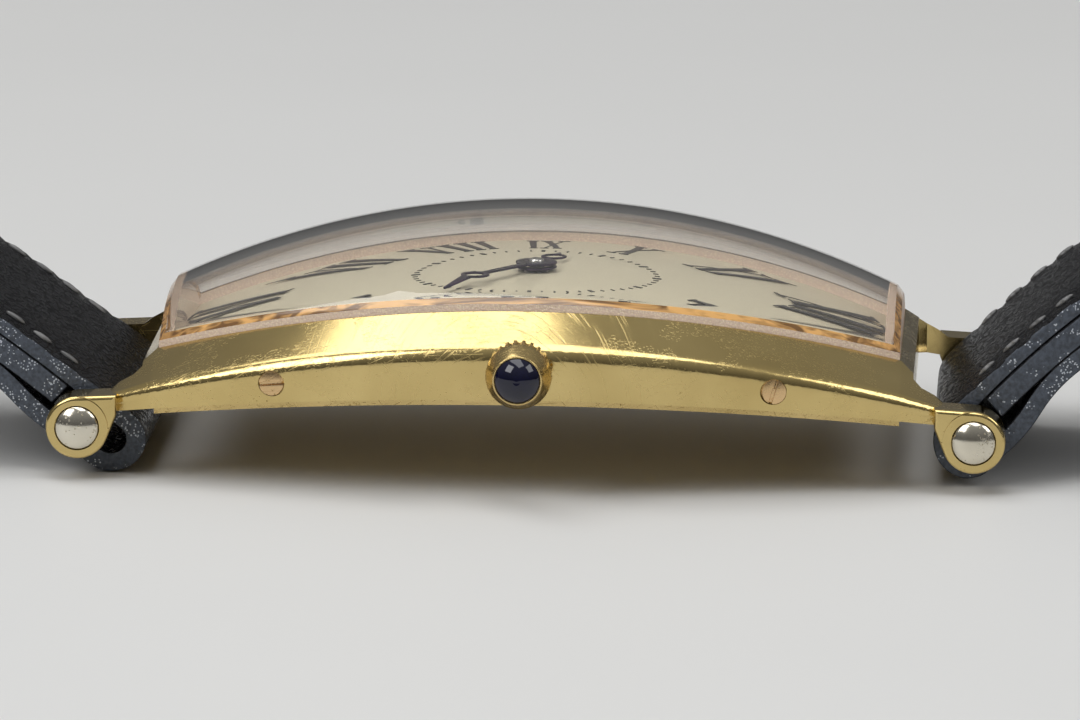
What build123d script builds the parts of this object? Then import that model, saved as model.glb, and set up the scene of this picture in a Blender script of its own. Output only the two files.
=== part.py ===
"""Curved tonneau wristwatch with a two-piece leather strap, as separate parts.

X runs from 6 o'clock to 12 o'clock, the crown points along -Y, and +Z is up through the dial.
The pieces are built about the middle of the case and moved to the frame's origin as they are
written. Z = 0 is the table that the strap rests on. All lengths are millimetres.
"""
from build123d import *
from math import asin, atan2, cos, degrees, hypot, pi, radians, sin, sqrt
import os

# General fits
CUT = 30.0                      # overrun of every cut
FIT = 0.03                      # gap of a close fit
RUNNING_GAP = 0.05              # gap of a turning or sliding fit
SOFT_GAP = 0.3                  # gap between leather and its neighbours

# Lug bars and eyes
bar_half_span = 21.9
bar_height = 2.7
bar_radius = 0.85
eye_radius = 1.55
eye_outer_y = 9.75
eye_inner_y = 7.9
eye_edge_round = 0.2
eye_line_width = 0.07           # the joint line between eye and lug
eye_line_depth = 0.1
bar_head_radius = 1.08
bar_head_seat = 0.35
bar_head_dome = 0.38

# Case front
case_half_width = 13.0
case_plan_radius = 57.5
neck_x = 20.35                  # where a lug meets its eye
case_end_x = 18.9               # end wall between the lugs
ridge_height = 7.45
ridge_radius = 66.0
ridge_round = 0.7
flank_bottom = 5.05
flank_bottom_radius = 124.0
flank_undercut = 0.45
top_edge_height = 9.07
top_edge_radius = 56.7
neck_top_y = 8.25
neck_top_rise = 0.12
end_corner_y = 7.45
end_flare_x = 19.3
cavity_half_length = 17.8
cavity_half_width = 10.9

# Crystal
crystal_half_length = 18.2
crystal_half_width = 10.6
crystal_plan_radius = 40.7
crystal_top_height = 12.29       # the middle of its dome
crystal_top_radius = 42.5        # of the line along the dome's middle
crystal_bevel = 0.3
crystal_bevel_rise = 0.27
crystal_side = 0.35
crystal_thickness = 1.05
crystal_rim = 0.85
crystal_seat_depth = 0.45
case_top_lip = 0.08
glass_shares = (-1, -0.7, -0.35, 0, 0.35, 0.7, 1)    # sections along the glass
case_shares = (-1, -0.75, -0.4, 0, 0.4, 0.75, 1)     # sections along the case
gasket_thickness = 0.1

# Dial
dial_height = 7.95              # its top at the centre
dial_radius = 56.0
dial_thickness = 0.4
dial_edge = 0.35                # how far it reaches under the case
dial_foot_radius = 0.3
dial_foot_x = 8.6
dial_foot_y = 6.2

# Case back and its screws
back_bottom = 4.55
back_thickness = 0.4
back_inset = 0.95
back_rim_wall = 0.7
back_rim_gap = 0.15             # under the dial
side_screw_x = 12.2
side_slot_turns = {(-1, -1): 5, (1, -1): 75, (-1, 1): 30, (1, 1): 110}    # by side, in degrees
side_screw_edge = 0.605         # from the screw's middle up to the back rim's top edge
side_screw_radius = 0.62
side_screw_shank = 0.35
side_screw_sink = 0.12
side_screw_head = 0.35
screw_slot_width = 0.16
screw_slot_share = 0.4          # of the head's height

# Crown, tube and stem
stem_height = 6.6
stem_radius = 0.4
crown_radius = 1.6
crown_inner_y = 13.3
crown_flute_length = 1.0
crown_face_y = 15.25
crown_flutes = 24
crown_flute_radius = 0.13
crown_face_radius = 1.2
crown_bore_depth = 0.75
cabochon_radius = 1.12
cabochon_dome = 0.62
cabochon_seat = 0.3
tube_radius = 0.85
tube_bore = 0.5
tube_length = 2.6

# Movement plates
plate_half_length = 9.6
plate_half_width = 9.0
plate_corner = 2.5
plate_bottom = 6.1
plate_thickness = 0.6
bridge_bottom = 5.3
bridge_thickness = 0.35
bridge_wall = 0.7
bridge_gap = 0.15
bridge_split = 1.6              # where the two large bridges part
train_bridge_low = -2.0
barrel_screw_shares = ((0.865, 0.845), (0.333, 0.878), (0.875, -0.822))    # of the plate's half sizes
train_screw_shares = ((-0.854, 0.822), (0.021, 0.922), (-0.9375, 0.133))
bridge_screw_radius = 0.45
bridge_screw_head = 0.18
bridge_screw_shank = 0.22
bridge_slot_step = 37.0         # turn of the slot from one screw to the next
casing_screw_share = 1.3        # of the bridge screws' radius
spiral_steps = 12               # points of a spiral's turn
keyless_slot = 1.0              # half width of the slot for the pinions
keyless_slot_inner = 2.9
keyless_slot_outer = 8.1
movement_gap = 0.1
ring_lift = 0.1                 # over the case back
jewel_radius = 0.42
jewel_bore = 0.14
jewel_thickness = 0.18

# Train: wheel radius, pinion radius and tooth counts
tooth_depth = 0.22
wheel_thickness = 0.1
pinion_height = 0.18
arbor_radius = 0.12
centre_arbor_radius = 0.2
barrel_radius = 4.0
barrel_height = 0.5
barrel_bottom = 5.85
barrel_wall = 0.3
barrel_floor = 0.1
barrel_angle = -8.0
centre_wheel_radius = 3.4
centre_pinion_radius = 0.62
third_wheel_radius = 2.6
third_pinion_radius = 0.45
fourth_wheel_radius = 2.2
fourth_pinion_radius = 0.4
fourth_distance = 4.9
escape_wheel_radius = 1.5
escape_pinion_radius = 0.3
escape_angle = -158.0           # seen from the fourth wheel
mesh_depth = 0.07               # how far the teeth reach into each other
fork_share = 0.4                # of the way from escape wheel to balance
barrel_teeth = 72
centre_teeth = 64
third_teeth = 60
fourth_teeth = 70
escape_teeth = 15
pinion_leaves = 8
centre_pinion_leaves = 10
escape_pinion_leaves = 7
escape_tooth_shares = (0.3, 0.45, 0.4)    # tip start, tip end and root end, of the pitch
escape_tooth_depth = 0.35
level_step = 0.18               # from one wheel level to the next
first_level = 5.70
train_recess = 0.2

# Balance and escapement
balance_distance = 7.66
balance_angle = -139.3
balance_radius = 2.3
balance_rim = 0.35
balance_height = 0.1
balance_arm = 0.3
balance_level = 5.76
roller_radius = 0.5
impulse_distance = 0.3
balance_arm_turn = 60.0
regulator_turn = 150.0
pallet_beam_share = 0.4         # of the way from fork to escape wheel
impulse_pin_radius = 0.06
hairspring_outer = 1.5
hairspring_inner = 0.35
hairspring_turns = 5
hairspring_wire = 0.06
hairspring_level = 5.67
hairspring_height = 0.05
fork_thickness = 0.1
fork_arm = 0.22
pallet_reach = 0.62
pallet_width = 0.2
fork_slot = 0.2
cock_width = 1.7
cock_foot_x = 8.3
cock_foot_y = 7.95
regulator_length = 2.1
regulator_width = 0.25
regulator_thickness = 0.12

# Winding works
ratchet_radius = 3.6
ratchet_teeth = 60
crown_wheel_radius = 1.95
crown_wheel_teeth = 32
crown_wheel_bore = 0.62
wind_wheel_bottom = 5.05
wind_wheel_thickness = 0.2
contrate_width = 0.2
winding_pinion_radius = 0.9
winding_pinion_y = 5.7          # its inner face, towards the crown from the centre
winding_pinion_length = 1.3
sliding_pinion_length = 1.5
pinion_face_gap = 0.15
groove_depth = 0.25
groove_width = 0.35
click_pivot_x = 7.0
click_pivot_y = 4.1
click_boss = 0.65
click_width = 0.5
click_spring_wire = 0.14
click_beak_turn = 22.0          # from the pivot's bearing to the beak's
click_screw_share = 0.7
barrel_arbor_radius = 0.9
barrel_arbor_hook = 0.5
mainspring_turns = 7
mainspring_strip = 0.08

# Setting works
setting_bottom = 6.95
setting_thickness = 0.12
setting_wheel_radius = 0.8
setting_wheel_teeth = 15
minute_wheel_radius = 1.95
minute_wheel_teeth = 36
minute_pinion_radius = 0.52
minute_pinion_leaves = 10
minute_angle = -43.0
cannon_pinion_radius = 0.65
cannon_teeth = 12
hour_wheel_radius = 2.08
hour_wheel_teeth = 40
hour_wheel_bottom = 7.15
lever_width = 0.7
lever_pivot_x = 2.6
lever_pivot_y = 7.3
yoke_pivot_x = -2.6
yoke_pivot_y = 6.9
yoke_width_share = 0.8          # of the groove that it works in
stem_square_share = 0.8
lever_spring_shares = (0.6, 0.1)    # of its length: to its bend, and on to its end
lever_spring_length = 3.2

# Hands
hour_pipe_radius = 0.62
cannon_pipe_radius = 0.4
hand_thickness = 0.1
hour_hand_bottom = 8.07
minute_hand_bottom = 8.27
post_top = 8.45
hand_boss_radius = 1.02
minute_hand_length = 5.65
minute_moon_distance = 3.85
minute_moon_radius = 0.55
hour_hand_length = 4.25
hour_moon_distance = 3.1
hour_moon_radius = 0.65
moon_rim = 0.17
moon_offset = 0.05             # of the hole, towards the tip
hand_root_width = 0.5
hand_neck_width = 0.26
hand_tip_width = 0.1
hand_tip_root_share = 0.9       # of the neck's width, on each side of the middle
minute_hand_clock_angle = 138.5
hour_hand_clock_angle = 283.0

# Strap
strap_rise = 44.0               # slope at the lug bar, in degrees
strap_width = 15.0
strap_tip_width = 12.6
strap_taper_length = 34.0
leather_thickness = 0.95
lining_thickness = 1.25
return_thickness = 0.9
return_length = 13.0
loop_outer_12 = 2.5
loop_outer_6 = 2.8
loop_leather = leather_thickness
short_half_length = 68.0
fit_steps = 60                  # halvings that fit the arch
long_half_length = 112.0
layer_gap = 0.02
lining_end_share = 1.4          # of the buckle wrap's radius, where the lining stops
hole_radius = 0.75
hole_count = 6
hole_pitch = 6.5
hole_first = 26.0               # from the tip

# Keepers
keeper_width = 5.0
keeper_wall = 0.8
keeper_room = 2.6               # height left for the other strap half
fixed_keeper_place = 57.0       # arc length from the lug bar
free_keeper_place = 41.0

# Buckle
buckle_bar_radius = 0.75
buckle_length = 10.4
buckle_outer_width = 16.6
buckle_inner_width = 13.2
buckle_height = 1.7
buckle_end_bar = 1.9
buckle_ear_radius = 1.2
buckle_corner = 2.4
tang_width = 1.3
tang_thickness = 0.7
tang_overhang = 0.3
tang_slot = 1.9
tang_bend_share = 1.2           # of the end bar, where the tang comes down on it

# What follows is worked out from the sizes above
window_half_length = crystal_half_length - crystal_rim
window_half_width = crystal_half_width - crystal_rim
seat_height = top_edge_height - crystal_seat_depth
glass_base = seat_height + gasket_thickness + FIT
dial_half_length = window_half_length + dial_edge
dial_half_width = window_half_width + dial_edge
dial_under = dial_height - dial_thickness
plate_top = plate_bottom + plate_thickness
bridge_top = bridge_bottom + bridge_thickness
back_inside = back_bottom + back_thickness
side_screw_height = dial_under - back_rim_gap - side_screw_edge \
    - (dial_radius - sqrt(dial_radius ** 2 - side_screw_x ** 2))
second_level = first_level + level_step
third_level = second_level + level_step
strap_turn = radians(strap_rise)


def arc_drop(radius, distance):
    """How far an arc falls below its crown at a distance from it."""
    return radius - sqrt(radius ** 2 - distance ** 2)


def polar(distance, angle, start=(0, 0)):
    """The plan point at a distance and an angle in degrees from a start point."""
    return (start[0] + distance * cos(radians(angle)), start[1] + distance * sin(radians(angle)))


def meeting(first, first_radius, second, second_radius, side):
    """One of the two points at the given distances from two centres."""
    dx = second[0] - first[0]
    dy = second[1] - first[1]
    span = hypot(dx, dy)
    along = (first_radius ** 2 - second_radius ** 2 + span ** 2) / (2 * span)
    across = side * sqrt(first_radius ** 2 - along ** 2)
    return (first[0] + (along * dx - across * dy) / span, first[1] + (along * dy + across * dx) / span)


def along_line(start, end, share):
    """The point at a share of the way from start to end."""
    return (start[0] + share * (end[0] - start[0]), start[1] + share * (end[1] - start[1]))


# Places of the wheels in plan
centre_place = (0, 0)
barrel_place = polar(barrel_radius + centre_pinion_radius - mesh_depth, barrel_angle)
fourth_place = (-fourth_distance, 0)
third_place = meeting(centre_place, centre_wheel_radius + third_pinion_radius - mesh_depth,
                      fourth_place, third_wheel_radius + fourth_pinion_radius - mesh_depth, -1)
escape_place = polar(fourth_wheel_radius + escape_pinion_radius - mesh_depth, escape_angle, fourth_place)
balance_place = polar(balance_distance, balance_angle)
fork_place = along_line(escape_place, balance_place, fork_share)
winding_contact = (0, -winding_pinion_y - winding_pinion_length / 2)
crown_wheel_place = meeting(winding_contact, crown_wheel_radius, barrel_place,
                            ratchet_radius + crown_wheel_radius - mesh_depth, -1)
minute_wheel_place = polar(cannon_pinion_radius + minute_wheel_radius - mesh_depth, minute_angle)
sliding_pinion_inner_y = winding_pinion_y - pinion_face_gap - sliding_pinion_length
setting_wheel_place = meeting(centre_place, hour_wheel_radius + setting_wheel_radius + RUNNING_GAP,
                              minute_wheel_place, minute_wheel_radius + setting_wheel_radius - mesh_depth, -1)
foot_place = (-cock_foot_x, -cock_foot_y)


def at(place, height, shape):
    """A shape moved to a plan place and a height."""
    return Pos(place[0], place[1], height) * shape


def disc(radius, thickness):
    """A round plate standing on Z = 0."""
    return extrude(Circle(radius), amount=thickness)


def rod_y(radius, start, end):
    """A round bar along Y between two places."""
    return Pos(0, start, 0) * (Rot(-90, 0, 0) * disc(radius, end - start))


def slab(low, low_radius, high, high_radius, half_length, half_width):
    """The space between two arcs seen from the side, carried across the width."""
    low_end = low - arc_drop(low_radius, half_length)
    high_end = high - arc_drop(high_radius, half_length)
    bottom = ThreePointArc((-half_length, low_end), (0, low), (half_length, low_end))
    top = ThreePointArc((-half_length, high_end), (0, high), (half_length, high_end))
    left = Line((-half_length, low_end), (-half_length, high_end))
    right = Line((half_length, low_end), (half_length, high_end))
    return extrude(Plane.XZ * make_face([bottom, right, top, left]), amount=half_width, both=True)


def tonneau(half_length, half_width, plan_radius):
    """Plan outline with two arched sides and straight ends."""
    end_y = half_width - arc_drop(plan_radius, half_length)
    upper = ThreePointArc((-half_length, end_y), (0, half_width), (half_length, end_y))
    lower = ThreePointArc((-half_length, -end_y), (0, -half_width), (half_length, -end_y))
    left = Line((-half_length, end_y), (-half_length, -end_y))
    right = Line((half_length, end_y), (half_length, -end_y))
    return make_face([upper, right, lower, left])


def arched(outline, low, low_radius, high, high_radius):
    """A plan outline kept between two arched surfaces."""
    reach = neck_x
    return extrude(outline, amount=CUT) & slab(low, low_radius, high, high_radius, reach, CUT)


def meshing_turn(place, count, other, other_count, other_turn=0):
    """Turn of a wheel, in degrees, that sets its teeth between those of another."""
    heading = degrees(atan2(other[1] - place[1], other[0] - place[0]))
    other_phase = (heading + 180 - other_turn) * other_count / 360 % 1
    return heading - (1 / 2 - other_phase) * 360 / count


def toothed(radius, count, thickness, depth=tooth_depth, turn=0):
    """A disc with pointed teeth, the first of them at the turn."""
    points = []
    for tooth in range(count):
        points.append(polar(radius, turn + 360 * tooth / count))
        points.append(polar(radius - depth, turn + 360 * (tooth + 1 / 2) / count))
    return extrude(make_face(Polyline(*points, close=True)), amount=thickness)


def crossed_wheel(radius, count, thickness, rim, hub, arm, arms):
    """A toothed wheel with its crossings cut out."""
    window = Circle(radius - rim) - Circle(hub)
    for turn in range(arms):
        spoke = Pos(radius / 2, 0) * Rectangle(radius, arm)
        window = window - Rot(0, 0, 360 * turn / arms) * spoke
    return toothed(radius, count, thickness) - extrude(window, amount=thickness)


def spiral_strip(inner, outer, turns, strip, height):
    """A flat spiral spring of one strip."""
    total = turns * spiral_steps
    inside = []
    outside = []
    for step in range(total + 1):
        radius = inner + (outer - inner) * step / total
        angle = 360 * step / spiral_steps
        inside.append(polar(radius, angle))
        outside.append(polar(radius + strip, angle))
    return extrude(make_face(Polyline(*inside, *reversed(outside), close=True)), amount=height)


# Case

def case_section(x, top_y, top_z):
    """Cross-section of the case at one place along it."""
    ridge_y = case_half_width - arc_drop(case_plan_radius, x)
    ridge_z = ridge_height - arc_drop(ridge_radius, x)
    low_y = ridge_y - flank_undercut
    low_z = flank_bottom - arc_drop(flank_bottom_radius, x)
    upper_length = hypot(top_y - ridge_y, top_z - ridge_z)
    round_length = min(ridge_round, upper_length / 2)
    upper = along_line((ridge_y, ridge_z), (top_y, top_z), round_length / upper_length)
    lower = along_line((ridge_y, ridge_z), (low_y, low_z), round_length / (ridge_z - low_z))
    middle = along_line(along_line(upper, lower, 1 / 2), (ridge_y, ridge_z), 1 / 2)

    def mirrored(point):
        return (-point[0], point[1])

    edges = [
        Line((-low_y, low_z), (low_y, low_z)),
        Line((low_y, low_z), lower),
        ThreePointArc(lower, middle, upper),
        Line(upper, (top_y, top_z)),
        Line((top_y, top_z), (-top_y, top_z)),
        Line((-top_y, top_z), mirrored(upper)),
        ThreePointArc(mirrored(upper), mirrored(middle), mirrored(lower)),
        Line(mirrored(lower), (-low_y, low_z)),
    ]
    plane = Plane(origin=(x, 0, 0), x_dir=(0, 1, 0), z_dir=(1, 0, 0))
    return plane * make_face(edges)


def crystal_edge_y(x):
    """Half width of the crystal at one place along it."""
    return crystal_half_width - arc_drop(crystal_plan_radius, x)


def case_body():
    """The curved middle with its four tapering lugs, still solid."""
    shoulder_x = crystal_half_length + case_top_lip
    sections = []
    for share in case_shares:
        x = share * shoulder_x
        top_z = top_edge_height - arc_drop(top_edge_radius, x)
        sections.append(case_section(x, crystal_edge_y(x) + case_top_lip, top_z))
    body = loft(sections)
    neck_top = ridge_height - arc_drop(ridge_radius, neck_x) + neck_top_rise
    for side in (-1, 1):
        x = side * shoulder_x
        shoulder_z = top_edge_height - arc_drop(top_edge_radius, x)
        shoulder = case_section(x, crystal_edge_y(x) + case_top_lip, shoulder_z)
        body = body + loft([shoulder, case_section(side * neck_x, neck_top_y, neck_top)], ruled=True)
    return body


def lug_eye(side_x, side_y):
    """A teardrop eye that carries one end of a lug bar."""
    neck_low = flank_bottom - arc_drop(flank_bottom_radius, neck_x)
    neck_high = ridge_height - arc_drop(ridge_radius, neck_x) + neck_top_rise
    ring = (Pos(bar_half_span, bar_height) * Circle(eye_radius)).edges()
    neck = Line((neck_x - eye_radius / 4, neck_low), (neck_x - eye_radius / 4, neck_high))
    profile = make_hull(ring + neck.edges())
    width = eye_outer_y - eye_inner_y
    eye = Pos(0, -eye_inner_y, 0) * extrude(Plane.XZ * profile, amount=width)
    outer_face = eye.faces().sort_by(Axis.Y)[0]
    eye = fillet(outer_face.edges(), eye_edge_round)
    line = Circle(eye_radius + eye_line_width / 2) - Circle(eye_radius - eye_line_width / 2)
    line = line & Pos(-eye_radius, eye_radius) * Rectangle(eye_radius * 2, eye_radius * 2)
    line = extrude(Plane.XZ * (Pos(bar_half_span, bar_height) * line), amount=CUT)
    eye = eye - Pos(0, -eye_outer_y + eye_line_depth, 0) * line
    if side_y > 0:
        eye = mirror(eye, Plane.XZ)
    if side_x < 0:
        eye = mirror(eye, Plane.YZ)
    return eye


def strap_gap(side_x):
    """The space between a pair of lugs, flaring from the end wall."""
    far = bar_half_span + eye_radius * 2
    points = [(case_end_x, end_corner_y), (end_flare_x, eye_inner_y), (far, eye_inner_y),
              (far, -eye_inner_y), (end_flare_x, -eye_inner_y), (case_end_x, -end_corner_y)]
    gap = extrude(make_face(Polyline(*points, close=True)), amount=CUT)
    return gap if side_x > 0 else mirror(gap, Plane.YZ)


def side_screw_places():
    """The four side screws: along the case, and which flank."""
    return [(side_x * side_screw_x, side_y) for side_x in (-1, 1) for side_y in (-1, 1)]


def flank_y(x, height):
    """Half width of the lower flank at a place along it and a height."""
    ridge_y = case_half_width - arc_drop(case_plan_radius, x)
    ridge_z = ridge_height - arc_drop(ridge_radius, x)
    low_z = flank_bottom - arc_drop(flank_bottom_radius, x)
    return ridge_y - flank_undercut * (ridge_z - height) / (ridge_z - low_z)


def make_case_front():
    """Bezel, middle and lugs in one piece."""
    body = case_body()
    for side_x in (-1, 1):
        body = body - strap_gap(side_x)
        for side_y in (-1, 1):
            body = body + lug_eye(side_x, side_y)
    cavity = tonneau(cavity_half_length, cavity_half_width, case_plan_radius)
    body = body - arched(cavity, 0, top_edge_radius, dial_height, dial_radius)
    window = tonneau(window_half_length, window_half_width, crystal_plan_radius)
    body = body - extrude(window, amount=CUT)
    seat = tonneau(crystal_half_length + FIT, crystal_half_width + FIT, crystal_plan_radius)
    body = body - arched(seat, seat_height, top_edge_radius, CUT / 2, top_edge_radius)
    recess = tonneau(cavity_half_length + back_inset / 2, cavity_half_width + back_inset / 2, case_plan_radius)
    body = body - arched(recess, 0, flank_bottom_radius, back_inside, flank_bottom_radius)
    for side_x in (-1, 1):
        bar = rod_y(bar_radius + FIT, -CUT, CUT)
        body = body - Pos(side_x * bar_half_span, 0, bar_height) * bar
        for side_y in (-1, 1):
            seat_y = eye_outer_y - bar_head_seat
            head = rod_y(bar_head_radius + FIT, seat_y, CUT) if side_y > 0 \
                else rod_y(bar_head_radius + FIT, -CUT, -seat_y)
            body = body - Pos(side_x * bar_half_span, 0, bar_height) * head
    for x, side_y in side_screw_places():
        face_y = flank_y(x, side_screw_height)
        floor_y = face_y - side_screw_sink - side_screw_head
        for radius, start in ((side_screw_radius + FIT, floor_y), (side_screw_shank + FIT, 0)):
            hole = rod_y(radius, start, CUT) if side_y > 0 else rod_y(radius, -CUT, -start)
            body = body - Pos(x, 0, side_screw_height) * hole
    tube_hole = rod_y(tube_radius + FIT, -CUT, 0)
    return body - Pos(0, 0, stem_height) * tube_hole


def back_outline(inset):
    """Outline of the case back's plate or rim, a distance inside the recess."""
    return tonneau(cavity_half_length + back_inset / 2 - inset,
                   cavity_half_width + back_inset / 2 - inset, case_plan_radius)


def make_case_back():
    """The curved back, with the upstanding rim that the side screws hold."""
    plate = arched(back_outline(FIT), back_bottom, flank_bottom_radius, back_inside - FIT, flank_bottom_radius)
    rim_inset = back_inset / 2 + FIT * 2
    rim_plan = back_outline(rim_inset) - back_outline(rim_inset + back_rim_wall)
    rim = arched(rim_plan, back_inside - FIT * 2, flank_bottom_radius,
                 dial_under - back_rim_gap, dial_radius)
    back = plate + rim
    for x, side_y in side_screw_places():
        hole = rod_y(side_screw_shank - FIT, 0, CUT) if side_y > 0 else rod_y(side_screw_shank - FIT, -CUT, 0)
        back = back - Pos(x, 0, side_screw_height) * hole
    return back - Pos(0, 0, stem_height) * rod_y(tube_radius + RUNNING_GAP, -CUT, 0)


def slotted_head(radius, height):
    """A flat screw head standing on Z = 0, with a slot across its top."""
    slot = Pos(0, 0, height) * Box(radius * 3, screw_slot_width, height * screw_slot_share * 2)
    return disc(radius, height) - slot


def make_case_screws():
    """The four side screws, with their slots where the photograph shows them."""
    screws = []
    for x, side_y in side_screw_places():
        turn = side_slot_turns[(1 if x > 0 else -1, side_y)]
        face_y = flank_y(x, side_screw_height) - side_screw_sink
        rim_y = cavity_half_width - arc_drop(case_plan_radius, x) - FIT * 3
        shank_length = face_y - side_screw_head - rim_y + back_rim_wall
        screw = Rot(0, 0, turn) * slotted_head(side_screw_radius, side_screw_head)
        screw = screw + Pos(0, 0, -shank_length) * disc(side_screw_shank - FIT, shank_length)
        screw = Pos(0, 0, face_y - side_screw_head) * screw
        tilt = -90 if side_y > 0 else 90
        screws.append(Pos(x, 0, side_screw_height) * (Rot(tilt, 0, 0) * screw))
    return Compound(screws)


def make_lug_bars():
    """The two bars that carry the strap."""
    end = eye_outer_y - bar_head_seat - FIT
    bars = [Pos(side * bar_half_span, 0, bar_height) * rod_y(bar_radius, -end, end) for side in (-1, 1)]
    return Compound(bars)


def make_bar_heads():
    """The domed screw heads that close the bars in the lug eyes."""
    height = bar_head_seat + bar_head_dome
    sphere_radius = (bar_head_radius ** 2 + bar_head_dome ** 2) / (2 * bar_head_dome)
    dome = disc(bar_head_radius, height) & Pos(0, 0, height - sphere_radius) * Sphere(sphere_radius)
    heads = []
    for side_x in (-1, 1):
        for side_y in (-1, 1):
            seat_y = side_y * (eye_outer_y - bar_head_seat)
            head = Rot(-90 * side_y, 0, 0) * dome
            heads.append(Pos(side_x * bar_half_span, seat_y, bar_height) * head)
    return Compound(heads)


def glass_side_z(x):
    """Height of the top of the glass's upright side at one place along it."""
    return top_edge_height - arc_drop(top_edge_radius, x) + crystal_side


def domed_section(x, half_width, base_z, shoulder_y, shoulder_z, side_z, top_z):
    """A cross-section with upright sides, bevels and a domed top."""
    dome = ThreePointArc((shoulder_y, shoulder_z), (0, top_z), (-shoulder_y, shoulder_z))
    edges = [
        Line((-half_width, base_z), (half_width, base_z)),
        Line((half_width, base_z), (half_width, side_z)),
        Line((half_width, side_z), (shoulder_y, shoulder_z)),
        dome,
        Line((-shoulder_y, shoulder_z), (-half_width, side_z)),
        Line((-half_width, side_z), (-half_width, base_z)),
    ]
    plane = Plane(origin=(x, 0, 0), x_dir=(0, 1, 0), z_dir=(1, 0, 0))
    return plane * make_face(edges)


def glass_section(x):
    """Cross-section of the glass before it is hollowed."""
    edge_y = crystal_edge_y(x)
    base_z = glass_base - arc_drop(top_edge_radius, x)
    side_z = glass_side_z(x)
    top_z = crystal_top_height - arc_drop(crystal_top_radius, x)
    shoulder_z = side_z + crystal_bevel_rise
    return domed_section(x, edge_y, base_z, edge_y - crystal_bevel, shoulder_z, side_z, top_z)


def glass_end_section(x):
    """Cross-section at the glass's end, which the bevel has lowered."""
    edge_y = crystal_edge_y(x)
    base_z = glass_base - arc_drop(top_edge_radius, x)
    side_z = glass_side_z(x)
    top_z = crystal_top_height - arc_drop(crystal_top_radius, x) - crystal_bevel_rise
    return domed_section(x, edge_y, base_z, edge_y - crystal_bevel, side_z + FIT, side_z, top_z)


def hollow_section(x):
    """Cross-section of the room under the glass, which follows the dome."""
    half_width = window_half_width - arc_drop(crystal_plan_radius, x)
    shoulder_y = crystal_edge_y(x) - crystal_bevel
    shoulder_z = glass_side_z(x) + crystal_bevel_rise
    top_z = crystal_top_height - arc_drop(crystal_top_radius, x)
    rise = (top_z - shoulder_z) * (1 - (half_width / shoulder_y) ** 2)
    side_z = shoulder_z + rise - crystal_thickness
    return domed_section(x, half_width, 0, half_width - FIT, side_z + FIT, side_z, top_z - crystal_thickness)


def make_crystal():
    """Thick glass domed both ways, bevelled round its edge and hollowed over the hands."""
    bevel_x = crystal_half_length - crystal_bevel
    glass = loft([glass_section(share * bevel_x) for share in glass_shares])
    for side in (-1, 1):
        sections = [glass_section(side * bevel_x), glass_end_section(side * crystal_half_length)]
        glass = glass + loft(sections, ruled=True)
    return glass - loft([hollow_section(share * window_half_length) for share in glass_shares])


def make_gasket():
    """The thin seal between glass and case."""
    outer = tonneau(crystal_half_length, crystal_half_width, crystal_plan_radius)
    inner = tonneau(window_half_length, window_half_width, crystal_plan_radius)
    return arched(outer - inner, seat_height, top_edge_radius, seat_height + gasket_thickness, top_edge_radius)


# Dial and hands

def make_dial():
    """The curved dial with its two feet."""
    outline = tonneau(dial_half_length, dial_half_width, crystal_plan_radius)
    dial = arched(outline, dial_under, dial_radius, dial_height - FIT, dial_radius)
    dial = dial - Pos(0, 0, dial_under) * disc(hour_pipe_radius + RUNNING_GAP * 2, CUT)
    for side in (-1, 1):
        foot_top = dial_under - arc_drop(dial_radius, dial_foot_x) + dial_thickness / 2
        foot_length = foot_top - plate_bottom - plate_thickness / 2
        foot = disc(dial_foot_radius, foot_length)
        dial = dial + Pos(side * dial_foot_x, side * dial_foot_y, foot_top - foot_length) * foot
    return dial


def moon_hand(length, moon_distance, moon_radius, bore):
    """Plan outline of a hollow moon hand along +X."""
    root_end = moon_distance - moon_radius + moon_rim / 2
    root = Polyline((0, hand_root_width / 2), (root_end, hand_neck_width / 2),
                    (root_end, -hand_neck_width / 2), (0, -hand_root_width / 2), close=True)
    tip_start = moon_distance + moon_radius - moon_rim / 2
    tip = Polyline((tip_start, hand_neck_width * hand_tip_root_share), (length, hand_tip_width / 2),
                   (length, -hand_tip_width / 2), (tip_start, -hand_neck_width * hand_tip_root_share), close=True)
    moon = Pos(moon_distance, 0) * Circle(moon_radius)
    hole = Pos(moon_distance + moon_offset, 0) * Circle(moon_radius - moon_rim)
    outline = make_face(root) + Circle(hand_boss_radius) + moon - hole + make_face(tip)
    return outline - Circle(bore)


def make_hour_hand():
    """Hour hand, pushed on the hour wheel's pipe."""
    plan = moon_hand(hour_hand_length, hour_moon_distance, hour_moon_radius, hour_pipe_radius - FIT)
    hand = extrude(plan, amount=hand_thickness)
    return Pos(0, 0, hour_hand_bottom) * (Rot(0, 0, -hour_hand_clock_angle) * hand)


def make_minute_hand():
    """Minute hand, pushed on the cannon pinion's pipe."""
    plan = moon_hand(minute_hand_length, minute_moon_distance, minute_moon_radius, cannon_pipe_radius - FIT)
    hand = extrude(plan, amount=hand_thickness)
    return Pos(0, 0, minute_hand_bottom) * (Rot(0, 0, -minute_hand_clock_angle) * hand)


def make_hour_wheel():
    """Hour wheel with its long pipe."""
    wheel = Pos(0, 0, hour_wheel_bottom) * toothed(hour_wheel_radius, hour_wheel_teeth, setting_thickness)
    pipe_height = hour_hand_bottom + hand_thickness - hour_wheel_bottom
    pipe = Pos(0, 0, hour_wheel_bottom) * disc(hour_pipe_radius - FIT, pipe_height)
    bore = Pos(0, 0, hour_wheel_bottom) * disc(cannon_pipe_radius + RUNNING_GAP, CUT)
    return wheel + pipe - bore


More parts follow.
